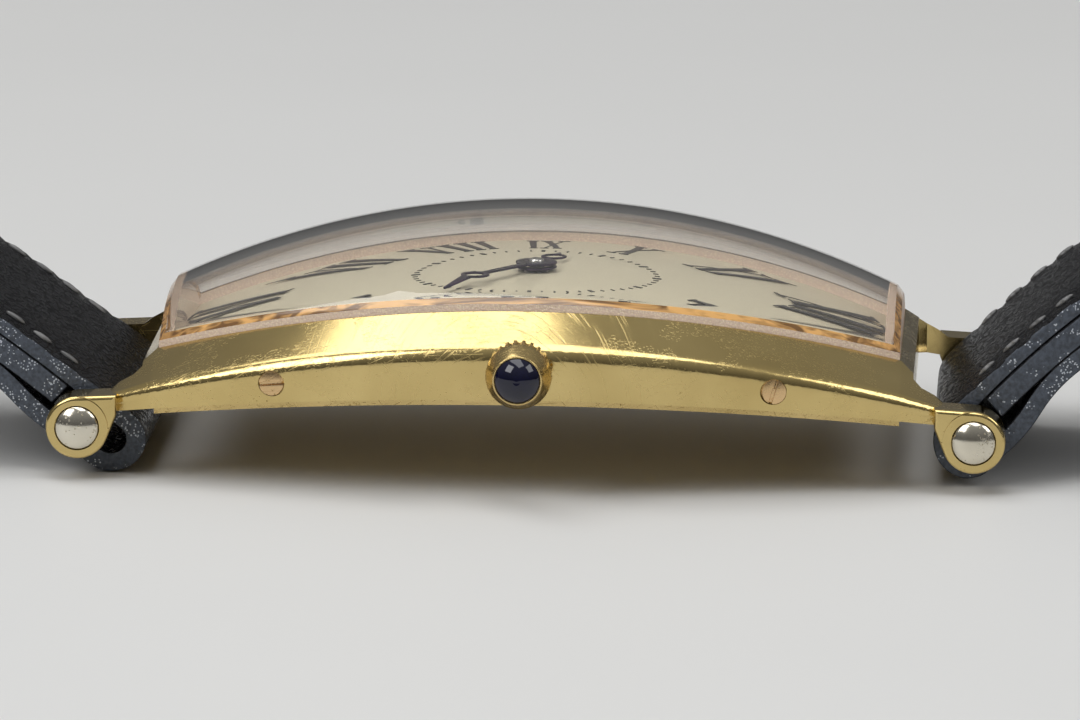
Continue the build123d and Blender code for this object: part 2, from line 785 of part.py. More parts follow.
def make_cannon_pinion():
    """Cannon pinion, a friction fit on the centre arbor."""
    leaves = Pos(0, 0, setting_bottom) * toothed(cannon_pinion_radius, cannon_teeth, setting_thickness)
    pipe_height = minute_hand_bottom + hand_thickness - setting_bottom
    pipe = Pos(0, 0, setting_bottom) * disc(cannon_pipe_radius - FIT, pipe_height)
    bore = Pos(0, 0, setting_bottom) * disc(centre_arbor_radius + FIT, CUT)
    return leaves + pipe - bore


def make_minute_wheel():
    """Minute wheel and its pinion, between cannon pinion and hour wheel."""
    turn = meshing_turn(minute_wheel_place, minute_wheel_teeth, centre_place, cannon_teeth)
    wheel = toothed(minute_wheel_radius, minute_wheel_teeth, setting_thickness, turn=turn)
    pinion_top = hour_wheel_bottom + setting_thickness - setting_bottom
    turn = meshing_turn(minute_wheel_place, minute_pinion_leaves, centre_place, hour_wheel_teeth)
    pinion = toothed(minute_pinion_radius, minute_pinion_leaves, pinion_top, tooth_depth / 2, turn)
    bore = disc(arbor_radius + FIT, CUT)
    return at(minute_wheel_place, setting_bottom, wheel + pinion - bore)


def make_setting_wheel():
    """Setting wheel, from the sliding pinion to the minute wheel."""
    minute_turn = meshing_turn(minute_wheel_place, minute_wheel_teeth, centre_place, cannon_teeth)
    turn = meshing_turn(setting_wheel_place, setting_wheel_teeth,
                        minute_wheel_place, minute_wheel_teeth, minute_turn)
    wheel = toothed(setting_wheel_radius, setting_wheel_teeth, setting_thickness, turn=turn)
    wheel = wheel - disc(arbor_radius + FIT, CUT)
    return at(setting_wheel_place, setting_bottom, wheel)


# Crown and stem

def make_crown():
    """Fluted crown with a rim round its stone."""
    flute_end = crown_inner_y + crown_flute_length
    profile = Polyline((0, -crown_inner_y), (crown_radius, -crown_inner_y), (crown_radius, -flute_end),
                       (crown_face_radius, -crown_face_y), (0, -crown_face_y), close=True)
    body = revolve(make_face(profile), Axis.Y)
    length = crown_flute_length
    for flute in range(crown_flutes):
        x, z = polar(crown_radius, 360 * flute / crown_flutes)
        groove = Pos(x, 0, z) * rod_y(crown_flute_radius, -crown_inner_y - length, -crown_inner_y)
        body = body - groove
    body = body - rod_y(cabochon_radius + FIT / 2, -CUT, -crown_face_y + cabochon_seat)
    body = body - rod_y(tube_radius + RUNNING_GAP * 2, -crown_inner_y - crown_bore_depth, 0)
    body = body - rod_y(stem_radius, -crown_face_y + cabochon_seat + FIT, 0)
    return Pos(0, 0, stem_height) * body


def make_cabochon():
    """The domed blue stone in the crown."""
    height = cabochon_seat + cabochon_dome
    ball = (cabochon_radius ** 2 + cabochon_dome ** 2) / (2 * cabochon_dome)
    stone = disc(cabochon_radius, height) & Pos(0, 0, height - ball) * Sphere(ball)
    return Pos(0, -crown_face_y + cabochon_seat, stem_height) * (Rot(90, 0, 0) * stone)


def make_crown_tube():
    """Tube in the flank that guides the stem and enters the crown."""
    outer_y = crown_inner_y + crown_bore_depth - RUNNING_GAP * 2
    tube = rod_y(tube_radius, -outer_y, -outer_y + tube_length) - rod_y(tube_bore, -CUT, CUT)
    return Pos(0, 0, stem_height) * tube


def make_stem():
    """Winding stem: thread in the crown, lever groove, square and pilot."""
    inner_y = keyless_slot_inner - RUNNING_GAP * 4
    crown_end = crown_face_y - cabochon_seat - FIT
    stem = rod_y(stem_radius, -crown_end, -winding_pinion_y)
    stem = stem + rod_y(stem_radius * 0.8, -winding_pinion_y, -keyless_slot_inner)
    stem = stem + rod_y(stem_radius / 2, -keyless_slot_inner, -inner_y + stem_radius)
    groove_y = keyless_slot_outer + groove_width * 2
    groove = rod_y(stem_radius * 2, -groove_y, -groove_y + groove_width)
    groove = groove - rod_y(stem_radius - groove_depth / 2, -CUT, CUT)
    return Pos(0, 0, stem_height) * (stem - groove)


def make_winding_pinion():
    """Winding pinion, loose on the stem's round part."""
    pinion = Rot(90, 0, 0) * toothed(winding_pinion_radius, pinion_leaves * 2, winding_pinion_length)
    pinion = Pos(0, -winding_pinion_y, 0) * pinion - rod_y(stem_radius + FIT, -CUT, CUT)
    return Pos(0, 0, stem_height) * pinion


def make_sliding_pinion():
    """Sliding pinion on the stem's square, with the yoke's groove."""
    pinion = Rot(90, 0, 0) * toothed(winding_pinion_radius, pinion_leaves * 2, sliding_pinion_length)
    pinion = Pos(0, -sliding_pinion_inner_y, 0) * pinion
    groove_y = sliding_pinion_inner_y + sliding_pinion_length / 2 + groove_width / 2
    groove = rod_y(CUT, -groove_y, -groove_y + groove_width)
    groove = groove - rod_y(winding_pinion_radius - groove_depth, -CUT, CUT)
    pinion = pinion - groove - rod_y(stem_radius * stem_square_share + FIT, -CUT, CUT)
    return Pos(0, 0, stem_height) * pinion


def lever(points, width, thickness):
    """A flat lever along a chain of plan points."""
    shape = None
    for start, end in zip(points, points[1:]):
        length = hypot(end[0] - start[0], end[1] - start[1])
        turn = degrees(atan2(end[1] - start[1], end[0] - start[0]))
        piece = SlotCenterToCenter(length, width)
        middle = along_line(start, end, 1 / 2)
        piece = Pos(middle[0], middle[1]) * (Rot(0, 0, turn) * piece)
        shape = piece if shape is None else shape + piece
    return extrude(shape, amount=thickness)


def make_setting_lever():
    """Lever whose pin sits in the stem's groove."""
    groove_y = keyless_slot_outer + groove_width * 2 - groove_width / 2
    pivot = (lever_pivot_x, -lever_pivot_y)
    body = lever([(0, -groove_y), pivot, (lever_pivot_x, -lever_pivot_y + lever_width * 2)],
                 lever_width / 2, setting_thickness)
    pivot_disc = at(pivot, 0, disc(lever_width / 2, setting_thickness))
    post = at(pivot, plate_top, disc(lever_width / 3, stem_height + stem_radius + FIT - plate_top))
    body = Pos(0, 0, stem_height + stem_radius + FIT) * (body + pivot_disc)
    pin_low = stem_height + stem_radius - groove_depth / 2 + FIT
    pin = at((0, -groove_y), pin_low, disc(groove_width / 3, groove_depth / 2 + setting_thickness))
    return body + pin + post


def make_yoke():
    """Yoke whose end moves the sliding pinion."""
    groove_y = sliding_pinion_inner_y + sliding_pinion_length / 2
    pivot = (yoke_pivot_x, -yoke_pivot_y)
    tip_x = -sqrt(winding_pinion_radius ** 2 - (stem_height - plate_top) ** 2) + groove_depth / 2
    width = groove_width * yoke_width_share
    body = lever([pivot, (yoke_pivot_x, -groove_y), (tip_x, -groove_y)], width, setting_thickness)
    pivot_disc = at(pivot, 0, disc(lever_width / 2, setting_thickness))
    return Pos(0, 0, plate_top + FIT) * (body + pivot_disc)


def make_lever_spring():
    """Cover spring that holds the setting lever in either place."""
    foot = (lever_pivot_x + lever_width * 2, -lever_pivot_y)
    to_bend, to_end = lever_spring_shares
    bend = (foot[0], foot[1] + lever_spring_length * to_bend)
    end = (lever_pivot_x + lever_width / 2, bend[1] + lever_spring_length * to_end)
    spring = lever([foot, bend, end], lever_width / 3, setting_thickness)
    spring = spring + at(foot, 0, disc(lever_width / 2, setting_thickness))
    return Pos(0, 0, plate_top + FIT) * spring


# Winding works

def make_crown_wheel():
    """Crown wheel with the upright teeth that the winding pinion drives."""
    turn = meshing_turn(crown_wheel_place, crown_wheel_teeth, barrel_place, ratchet_teeth)
    wheel = toothed(crown_wheel_radius, crown_wheel_teeth, wind_wheel_thickness, turn=turn)
    root = crown_wheel_radius - tooth_depth
    top = stem_height - winding_pinion_radius + tooth_depth / 2 - wind_wheel_bottom
    ring = disc(root, top) - disc(root - contrate_width, top)
    wheel = wheel + ring - disc(crown_wheel_bore + RUNNING_GAP, CUT)
    return at(crown_wheel_place, wind_wheel_bottom, wheel)


def make_ratchet_wheel():
    """Ratchet wheel on the barrel arbor's square."""
    wheel = toothed(ratchet_radius, ratchet_teeth, wind_wheel_thickness) - disc(barrel_arbor_hook, CUT)
    return at(barrel_place, wind_wheel_bottom, wheel)


def make_barrel_arbor():
    """Barrel arbor through plate, barrel and bridge, with the ratchet's screw head."""
    top = plate_top - plate_thickness / 4
    screw = Pos(0, 0, -bridge_screw_head / 2) * slotted_head(barrel_arbor_radius, bridge_screw_head / 2)
    core = disc(barrel_arbor_hook - FIT, top - wind_wheel_bottom)
    drum = Pos(0, 0, barrel_bottom + barrel_floor - wind_wheel_bottom) \
        * disc(barrel_arbor_radius, barrel_height - barrel_floor * 2)
    return at(barrel_place, wind_wheel_bottom, screw + core + drum)


def make_barrel():
    """Toothed barrel with its lid."""
    shell = disc(barrel_radius - tooth_depth, barrel_height)
    teeth = toothed(barrel_radius, barrel_teeth, wheel_thickness)
    room = Pos(0, 0, barrel_floor) \
        * disc(barrel_radius - tooth_depth - barrel_wall, barrel_height - barrel_floor * 2)
    barrel = shell + teeth - room - disc(barrel_arbor_hook + RUNNING_GAP, CUT)
    return at(barrel_place, barrel_bottom, barrel)


def make_mainspring():
    """Mainspring coiled in the barrel."""
    inner = barrel_arbor_radius + RUNNING_GAP
    outer = barrel_radius - tooth_depth - barrel_wall - mainspring_strip - RUNNING_GAP
    height = barrel_height - barrel_floor * 2 - RUNNING_GAP * 2
    spring = spiral_strip(inner, outer, mainspring_turns, mainspring_strip, height)
    return at(barrel_place, barrel_bottom + barrel_floor + RUNNING_GAP, spring)


def click_geometry():
    """Pivot of the click, and where its beak meets the ratchet wheel."""
    pivot = (click_pivot_x, click_pivot_y)
    dx = pivot[0] - barrel_place[0]
    dy = pivot[1] - barrel_place[1]
    heading = degrees(atan2(dy, dx))
    beak = polar(ratchet_radius + RUNNING_GAP, heading + click_beak_turn, barrel_place)
    return pivot, beak


def make_click():
    """Click that stops the ratchet wheel from running back."""
    pivot, beak = click_geometry()
    share = 1 - click_width / 4 / hypot(beak[0] - pivot[0], beak[1] - pivot[1])
    body = lever([pivot, along_line(pivot, beak, share)], click_width / 2, wind_wheel_thickness)
    body = body + at(pivot, 0, disc(click_boss, wind_wheel_thickness))
    screw = Pos(0, 0, -bridge_screw_head / 2) * slotted_head(click_boss * click_screw_share, bridge_screw_head / 2)
    return Pos(0, 0, wind_wheel_bottom) * (body + at(pivot, 0, screw))


def make_click_spring():
    """Wire spring behind the click."""
    pivot, beak = click_geometry()
    gap = click_boss + click_spring_wire
    start = (pivot[0] + gap, pivot[1] + gap * 2)
    corner = (pivot[0] - gap * 2, pivot[1] + gap * 2)
    end = (beak[0] - click_width, beak[1] + click_width)
    spring = lever([start, corner, end], click_spring_wire, click_spring_wire)
    return Pos(0, 0, bridge_bottom - click_spring_wire) * spring


# Plates and bridges

def plate_outline():
    """Plan of the movement."""
    return RectangleRounded(plate_half_length * 2, plate_half_width * 2, plate_corner)


def make_main_plate():
    """Main plate with its recesses, the stem slot and the crown wheel's post."""
    plate = Pos(0, 0, plate_bottom) * extrude(plate_outline(), amount=plate_thickness)
    barrel_room = barrel_bottom + barrel_height + RUNNING_GAP - plate_bottom
    plate = plate - at(barrel_place, plate_bottom, disc(barrel_radius + RUNNING_GAP * 2, barrel_room))
    for place, radius in ((centre_place, centre_wheel_radius), (third_place, third_wheel_radius),
                          (fourth_place, fourth_wheel_radius), (escape_place, escape_wheel_radius)):
        plate = plate - at(place, plate_bottom, disc(radius + RUNNING_GAP * 2, train_recess))
    slot_length = keyless_slot_outer - keyless_slot_inner
    slot_middle = (keyless_slot_outer + keyless_slot_inner) / 2
    plate = plate - Pos(0, -slot_middle, stem_height) * Box(keyless_slot * 2, slot_length, CUT / 2)
    plate = plate - Pos(0, 0, stem_height) * rod_y(stem_radius + FIT, -CUT, -keyless_slot_outer)
    pilot_end = keyless_slot_inner - stem_radius - RUNNING_GAP * 6
    plate = plate - Pos(0, 0, stem_height) * rod_y(stem_radius / 2 + FIT, -keyless_slot_inner, -pilot_end)
    pivots = (centre_place, third_place, fourth_place, escape_place, fork_place, balance_place)
    for place in pivots:
        radius = centre_arbor_radius + FIT if place == centre_place else jewel_radius
        plate = plate - at(place, 0, disc(radius, CUT))
    plate = plate - at(barrel_place, 0, disc(barrel_arbor_hook, CUT))
    for side in (-1, 1):
        plate = plate - at((side * dial_foot_x, side * dial_foot_y), 0, disc(dial_foot_radius + FIT, CUT))
    post_height = plate_bottom - wind_wheel_bottom
    post = at(crown_wheel_place, wind_wheel_bottom, disc(crown_wheel_bore, post_height + plate_thickness / 2))
    pins = at(minute_wheel_place, plate_top, disc(arbor_radius, hour_wheel_bottom - plate_top))
    pins = pins + at(setting_wheel_place, plate_top, disc(arbor_radius, setting_bottom - plate_top
                                                          + setting_thickness))
    return plate + post + pins


def bridge(region, holes):
    """A bridge: a flat cover with a wall round the movement's edge up to the main plate."""
    inner = RectangleRounded((plate_half_length - bridge_wall) * 2, (plate_half_width - bridge_wall) * 2,
                             plate_corner - bridge_wall)
    cover = extrude(plate_outline() & region, amount=bridge_thickness)
    wall = extrude((plate_outline() - inner) & region, amount=plate_bottom - bridge_bottom)
    shape = Pos(0, 0, bridge_bottom) * (cover + wall)
    for place, radius in holes:
        shape = shape - at(place, 0, disc(radius, plate_bottom))
    return shape


def plate_spots(shares):
    """Plan places given as shares of the plate's half length and half width."""
    return [(x * plate_half_length, y * plate_half_width) for x, y in shares]


barrel_screw_places = plate_spots(barrel_screw_shares)
train_screw_places = plate_spots(train_screw_shares)


def screw_holes(places):
    """Screw holes at a list of plan places."""
    return [(place, bridge_screw_shank + FIT) for place in places]


def make_barrel_bridge():
    """Barrel bridge, notched for the crown wheel."""
    width = plate_half_length - bridge_split
    region = Pos(bridge_split + width / 2, 0) * Rectangle(width, plate_half_width * 2)
    holes = [(barrel_place, barrel_arbor_hook), (crown_wheel_place, crown_wheel_radius + RUNNING_GAP * 2),
             ((0, 0), centre_arbor_radius)]
    return bridge(region, holes + screw_holes(barrel_screw_places))


def make_train_bridge():
    """Bridge over the centre, third, fourth and escape wheels."""
    right = bridge_split - bridge_gap
    width = plate_half_length + right
    height = plate_half_width - train_bridge_low
    region = Pos(right - width / 2, train_bridge_low + height / 2) * Rectangle(width, height)
    jewels = [(place, jewel_radius) for place in (third_place, fourth_place, escape_place)]
    holes = [(centre_place, centre_arbor_radius + FIT)] + jewels
    return bridge(region, holes + screw_holes(train_screw_places))


def make_balance_cock():
    """Cock that carries the balance's upper pivot."""
    arm = lever([foot_place, balance_place], cock_width, bridge_thickness)
    foot = at(foot_place, 0, disc(cock_width / 2, plate_bottom - bridge_bottom))
    outline = extrude(plate_outline(), amount=CUT)
    cock = (arm + foot) & outline
    cock = cock - at(balance_place, 0, disc(jewel_radius, CUT))
    cock = cock - at(foot_place, 0, disc(bridge_screw_shank + FIT, CUT))
    return Pos(0, 0, bridge_bottom) * cock


def fork_heading():
    """Direction from the escape wheel to the balance, in degrees."""
    return degrees(atan2(balance_place[1] - escape_place[1], balance_place[0] - escape_place[0]))


def make_pallet_cock():
    """Small cock over the pallet fork, with a foot on each side."""
    reach = fork_arm * 5
    ends = [polar(reach, fork_heading() + 90, fork_place), polar(reach, fork_heading() - 90, fork_place)]
    shape = lever(ends, fork_arm * 2, wheel_thickness)
    foot_height = plate_bottom - second_level + pinion_height
    for end in ends:
        shape = shape + at(end, 0, disc(fork_arm, foot_height))
    shape = shape - at(fork_place, 0, disc(arbor_radius + FIT, CUT))
    return Pos(0, 0, plate_bottom - foot_height) * shape


def screw_list():
    """Every bridge screw: its place and the height of its head's underside."""
    places = list(barrel_screw_places) + list(train_screw_places) + [foot_place]
    return [(place, bridge_bottom) for place in places]


def make_bridge_screws():
    """Screws of the bridges and of the balance cock."""
    screws = []
    for number, (place, height) in enumerate(screw_list()):
        head = mirror(slotted_head(bridge_screw_radius, bridge_screw_head), Plane.XY)
        shank = disc(bridge_screw_shank, plate_bottom - bridge_bottom)
        screws.append(at(place, height, Rot(0, 0, bridge_slot_step * number) * (head + shank)))
    screws.append(at(crown_wheel_place, wind_wheel_bottom,
                     mirror(slotted_head(crown_wheel_bore * casing_screw_share, bridge_screw_head / 2), Plane.XY)))
    return Compound(screws)


def make_jewels():
    """Ring jewels in the bridges and the main plate."""
    ring = disc(jewel_radius - FIT / 2, jewel_thickness) - disc(jewel_bore, jewel_thickness)
    jewels = []
    for place in (third_place, fourth_place, escape_place, balance_place):
        jewels.append(at(place, bridge_bottom, ring))
    for place in (third_place, fourth_place, escape_place, fork_place, balance_place):
        jewels.append(at(place, plate_top - jewel_thickness, ring))
    return Compound(jewels)


def make_movement_ring():
    """Ring that holds the movement in the case."""
    outer = back_outline(back_inset / 2 + FIT * 2 + back_rim_wall + RUNNING_GAP)
    hole = RectangleRounded((plate_half_length + movement_gap / 2) * 2, (plate_half_width + movement_gap / 2) * 2,
                            plate_corner)
    ring = arched(outer - hole, back_inside + ring_lift, flank_bottom_radius, dial_under - FIT, dial_radius)
    for place in casing_screw_places():
        ring = ring - at(place, 0, disc(bridge_screw_radius * casing_screw_share + RUNNING_GAP, bridge_bottom))
    return ring - Pos(0, 0, stem_height) * rod_y(tube_radius + RUNNING_GAP, -CUT, 0)


def casing_screw_places():
    """Where the movement is clamped in its ring."""
    offset = bridge_screw_radius / 2
    return [(side * (plate_half_length + offset), 0) for side in (-1, 1)]


def make_casing_screws():
    """Clamp screws whose heads bridge movement and ring."""
    screws = []
    for place in casing_screw_places():
        head = mirror(slotted_head(bridge_screw_radius * casing_screw_share, bridge_screw_head), Plane.XY)
        screws.append(at(place, bridge_bottom, head))
    return Compound(screws)


# Going train and escapement

def train_wheel(place, level, radius, teeth, rim, pinion_radius, pinion_level, driver, driver_teeth):
    """A wheel and pinion on one arbor, the pinion meshing with its driver."""
    hub = pinion_radius + tooth_depth / 2
    wheel = Pos(0, 0, level) * crossed_wheel(radius, teeth, wheel_thickness, rim + tooth_depth, hub, rim, 4)
    turn = meshing_turn(place, pinion_leaves, driver, driver_teeth)
    pinion = toothed(pinion_radius, pinion_leaves, pinion_height, tooth_depth / 2, turn)
    pinion = Pos(0, 0, pinion_level) * pinion
    arbor_low = bridge_top - bridge_thickness / 2
    arbor_length = plate_top - jewel_thickness / 2 - arbor_low
    arbor = Pos(0, 0, arbor_low) * disc(arbor_radius, arbor_length)
    return at(place, 0, wheel + pinion + arbor)


def make_centre_wheel():
    """Centre wheel on the arbor that carries the cannon pinion."""
    wheel = crossed_wheel(centre_wheel_radius, centre_teeth, wheel_thickness, tooth_depth * 2,
                          centre_pinion_radius + tooth_depth / 2, tooth_depth * 1.5, 5)
    turn = meshing_turn(centre_place, centre_pinion_leaves, barrel_place, barrel_teeth)
    pinion = toothed(centre_pinion_radius, centre_pinion_leaves, plate_bottom - first_level,
                     tooth_depth / 2, turn)
    arbor = Pos(0, 0, bridge_bottom - first_level) * disc(centre_arbor_radius, post_top - bridge_bottom)
    return Pos(0, 0, first_level) * (wheel + pinion + arbor)


def make_third_wheel():
    """Third wheel, driven by the centre wheel."""
    return train_wheel(third_place, second_level, third_wheel_radius, third_teeth, tooth_depth,
                       third_pinion_radius, first_level, centre_place, centre_teeth)


def make_fourth_wheel():
    """Fourth wheel, driven by the third."""
    return train_wheel(fourth_place, third_level, fourth_wheel_radius, fourth_teeth, tooth_depth,
                       fourth_pinion_radius, second_level, third_place, third_teeth)


def make_escape_wheel():
    """Club-toothed escape wheel."""
    points = []
    root = escape_wheel_radius - escape_tooth_depth
    tip_start, tip_end, root_end = escape_tooth_shares
    for tooth in range(escape_teeth):
        start = 360 * tooth / escape_teeth
        pitch = 360 / escape_teeth
        points.append(polar(root, start))
        points.append(polar(escape_wheel_radius, start + pitch * tip_start))
        points.append(polar(escape_wheel_radius, start + pitch * tip_end))
        points.append(polar(root, start + pitch * root_end))
    disc_part = extrude(make_face(Polyline(*points, close=True)), amount=wheel_thickness)
    window = Circle(root - tooth_depth) - Circle(escape_pinion_radius + tooth_depth)
    for turn in range(4):
        spoke = Pos(root / 2, 0) * Rectangle(root, tooth_depth)
        window = window - Rot(0, 0, 90 * turn) * spoke
    wheel = Pos(0, 0, second_level) * (disc_part - extrude(window, amount=wheel_thickness))
    turn = meshing_turn(escape_place, escape_pinion_leaves, fourth_place, fourth_teeth)
    pinion = toothed(escape_pinion_radius, escape_pinion_leaves, pinion_height * 2, tooth_depth / 3, turn)
    pinion = Pos(0, 0, second_level) * pinion
    arbor_low = bridge_top - bridge_thickness / 2
    arbor = Pos(0, 0, arbor_low) * disc(arbor_radius, plate_top - jewel_thickness / 2 - arbor_low)
    return at(escape_place, 0, wheel + pinion + arbor)


def make_pallet_fork():
    """Pallet fork with its two stones and the notch for the impulse pin."""
    reach = hypot(balance_place[0] - fork_place[0], balance_place[1] - fork_place[1]) - impulse_distance
    stem = Pos(reach / 2, 0) * Rectangle(reach, fork_arm)
    notch = Pos(reach, 0) * Rectangle(fork_slot * 2, fork_slot)
    horns = Pos(reach - fork_slot, 0) * Rectangle(fork_slot * 2, fork_slot * 3)
    back = hypot(escape_place[0] - fork_place[0], escape_place[1] - fork_place[1]) - escape_wheel_radius
    beam = Pos(-back * pallet_beam_share, 0) * Rectangle(fork_arm, (pallet_reach + pallet_width) * 2)
    plan = stem + beam + horns - notch + Circle(fork_arm)
    for side in (-1, 1):
        stone = Pos(-back * pallet_beam_share - pallet_width, side * pallet_reach) * Rectangle(pallet_width * 2, pallet_width)
        plan = plan + stone
    fork = Rot(0, 0, fork_heading()) * extrude(plan, amount=fork_thickness)
    arbor_low = second_level - wheel_thickness
    arbor = disc(arbor_radius / 2, plate_top - jewel_thickness / 2 - arbor_low)
    return at(fork_place, second_level, fork) + at(fork_place, arbor_low, arbor)


def make_balance():
    """Balance wheel with its staff, roller and impulse pin."""
    rim = Circle(balance_radius) - Circle(balance_radius - balance_rim)
    arm = Rectangle(balance_radius * 2 - balance_rim, balance_arm)
    plan = rim + Rot(0, 0, fork_heading() + balance_arm_turn) * arm + Circle(roller_radius)
    wheel = Pos(0, 0, balance_level) * extrude(plan, amount=balance_height)
    staff_low = bridge_top - bridge_thickness / 2
    staff = Pos(0, 0, staff_low) * disc(arbor_radius, plate_top - jewel_thickness / 2 - staff_low)
    pin_place = polar(impulse_distance, fork_heading() + 180)
    pin = at(pin_place, balance_level, disc(impulse_pin_radius, second_level + fork_thickness - balance_level))
    return at(balance_place, 0, wheel + staff + pin)


def make_hairspring():
    """Flat hairspring between cock and balance."""
    spring = spiral_strip(hairspring_inner, hairspring_outer, hairspring_turns, hairspring_wire,
                          hairspring_height)
    collet = disc(hairspring_inner + hairspring_wire / 2, hairspring_height) - disc(arbor_radius + FIT, CUT)
    return at(balance_place, hairspring_level, spring + collet)


def make_regulator():
    """Index on the balance cock."""
    pointer = Pos(regulator_length / 2, 0) * Rectangle(regulator_length, regulator_width)
    plan = pointer + Circle(jewel_radius * 1.5) - Circle(jewel_radius)
    index = mirror(extrude(plan, amount=regulator_thickness), Plane.XY)
    return at(balance_place, bridge_bottom, Rot(0, 0, fork_heading() + regulator_turn) * index)


# Strap

class StrapHalf:
    """Side view of one strap half, in its own frame at the lug bar."""

    def __init__(self, side, length, loop_outer, end_height):
        """Work out the arch that leaves the bar at the rise and ends at a height."""
        self.side = side
        self.length = length
        self.loop_outer = loop_outer
        self.leather_middle = loop_outer - leather_thickness / 2
        self.under = loop_outer - leather_thickness - layer_gap
        self.middle = loop_outer - (leather_thickness + lining_thickness) / 2
        self.radius = self.fitted_radius(end_height)

    def start(self):
        """Where the arch's middle line begins, seen from the side."""
        return (-self.middle * sin(strap_turn), bar_height + self.middle * cos(strap_turn))

    def fitted_radius(self, end_height):
        """Radius at which an arch of this length comes down to the end height."""
        low = self.length / (strap_turn * 2) / 2
        high = self.length / strap_turn
        for step in range(fit_steps):
            radius = (low + high) / 2
            fall = radius * (cos(strap_turn - self.length / radius) - cos(strap_turn))
            if self.start()[1] + fall > end_height:
                high = radius
            else:
                low = radius
        return radius

    def centre(self):
        """Centre of the arch, seen from the side."""
        x, z = self.start()
        return (x + self.radius * sin(strap_turn), z - self.radius * cos(strap_turn))

    def point(self, distance, offset):
        """A point at a length along the arch and an offset outwards from its middle line."""
        heading = strap_turn - distance / self.radius
        x, z = self.centre()
        reach = self.radius + offset
        return (x - reach * sin(heading), z + reach * cos(heading))

    def slope(self, distance):
        """Slope of the arch in degrees at a length along it."""
        return degrees(strap_turn - distance / self.radius)

    def band(self, start, end, low, high):
        """The band between two lengths and two offsets, as a face seen from the side."""
        edges = [
            ThreePointArc(self.point(start, low), self.point((start + end) / 2, low), self.point(end, low)),
            Line(self.point(end, low), self.point(end, high)),
            ThreePointArc(self.point(end, high), self.point((start + end) / 2, high), self.point(start, high)),
            Line(self.point(start, high), self.point(start, low)),
        ]
        return make_face(edges)

    def solid(self, face, width):
        """A side view carried across the width, centred, on this half's side of the case."""
        shape = extrude(Plane.XZ * face, amount=width / 2, both=True)
        shape = Pos(bar_half_span, 0, 0) * shape
        return shape if self.side > 0 else mirror(shape, Plane.YZ)

    def place(self, distance, offset):
        """A point of the arch in the part, before it is moved to the origin."""
        x, z = self.point(distance, offset)
        return (self.side * (bar_half_span + x), 0, z)


half_thickness = (leather_thickness + lining_thickness) / 2
wrap_radius = buckle_bar_radius + RUNNING_GAP + loop_leather
short_half = StrapHalf(1, short_half_length, loop_outer_12, wrap_radius)
long_half = StrapHalf(-1, long_half_length, loop_outer_6,
                      half_thickness * cos(strap_turn) + layer_gap)


def loop_profile(half):
    """The leather that turns round the lug bar and comes back under the lining."""
    ring = Circle(half.loop_outer) - Circle(half.loop_outer - loop_leather)
    cut = Rot(0, 0, strap_rise) * (Pos(half.loop_outer, 0) * Rectangle(half.loop_outer * 2, half.loop_outer * 4))
    turned = Pos(0, bar_height) * (ring - cut)
    outer_start = (half.loop_outer * sin(strap_turn), bar_height - half.loop_outer * cos(strap_turn))
    inner = half.loop_outer - return_thickness
    inner_start = (inner * sin(strap_turn), bar_height - inner * cos(strap_turn))
    low = -half_thickness - return_thickness
    heading = (cos(strap_turn), sin(strap_turn))
    outer_end = half.point(return_length, low)
    inner_end = half.point(return_length, -half_thickness - layer_gap)
    tangent = (cos(radians(half.slope(return_length))), sin(radians(half.slope(return_length))))
    edges = [
        Spline(outer_start, outer_end, tangents=[heading, tangent]),
        Line(outer_end, inner_end),
        Spline(inner_end, inner_start, tangents=[(-tangent[0], -tangent[1]), (-heading[0], -heading[1])]),
        Line(inner_start, outer_start),
    ]
    return turned + make_face(edges)


def taper(half, width, tip_width):
    """Plan of a strap half, tapering towards its tip."""
    far = bar_half_span + half.length
    near = bar_half_span - half.loop_outer * 2
    narrow = bar_half_span + strap_taper_length
    points = [(near, width / 2), (bar_half_span, width / 2), (narrow, tip_width / 2), (far, tip_width / 2),
              (far, -tip_width / 2), (narrow, -tip_width / 2), (bar_half_span, -width / 2), (near, -width / 2)]
    plan = extrude(make_face(Polyline(*points, close=True)), amount=CUT * 2, both=True)
    return plan if half.side > 0 else mirror(plan, Plane.YZ)


def buckle_bar_place():
    """Centre of the buckle bar, in the short half's side view."""
    return short_half.point(short_half_length, 0)


def floor_cut():
    """Everything under the table, taken off so that the strap rests flat."""
    size = long_half_length * 4
    return Pos(0, 0, -size / 2) * Box(size, size, size)


def tip_cut(half, tip_width):
    """Rounds the free tip of the long half in plan."""
    tip_x = half.place(half.length, 0)[0]
    square = Pos(tip_x + tip_width / 4, 0, 0) * Box(tip_width, tip_width * 2, CUT * 2)
    keep = Pos(tip_x + tip_width / 2, 0, -CUT) * disc(tip_width / 2 + FIT, CUT * 2)
    return square - keep


def strap_holes():
    """The buckle holes of the long half."""
    holes = None
    for number in range(hole_count):
        distance = long_half_length - hole_first - number * hole_pitch
        x, y, z = long_half.place(distance, 0)
        hole = Pos(0, 0, -half_thickness * 2) * disc(hole_radius, half_thickness * 4)
        hole = Pos(x, y, z) * (Rot(0, long_half.slope(distance), 0) * hole)
        holes = hole if holes is None else holes + hole
    return holes


def make_short_leather():
    """Outer leather of the 12 o'clock half, looped at both ends."""
    half = short_half
    face = half.band(0, half.length, half_thickness - leather_thickness, half_thickness)
    face = face + loop_profile(half)
    x, z = buckle_bar_place()
    wrap = Pos(x, z) * Circle(wrap_radius)
    face = face + wrap - Pos(x, z) * Circle(buckle_bar_radius + RUNNING_GAP)
    solid = half.solid(face, strap_width) & taper(half, strap_width, strap_tip_width)
    bar_x = bar_half_span + x
    slot = Pos(bar_x, 0, z) * Box(wrap_radius * 3, tang_slot, wrap_radius * 4)
    return solid - slot - floor_cut()


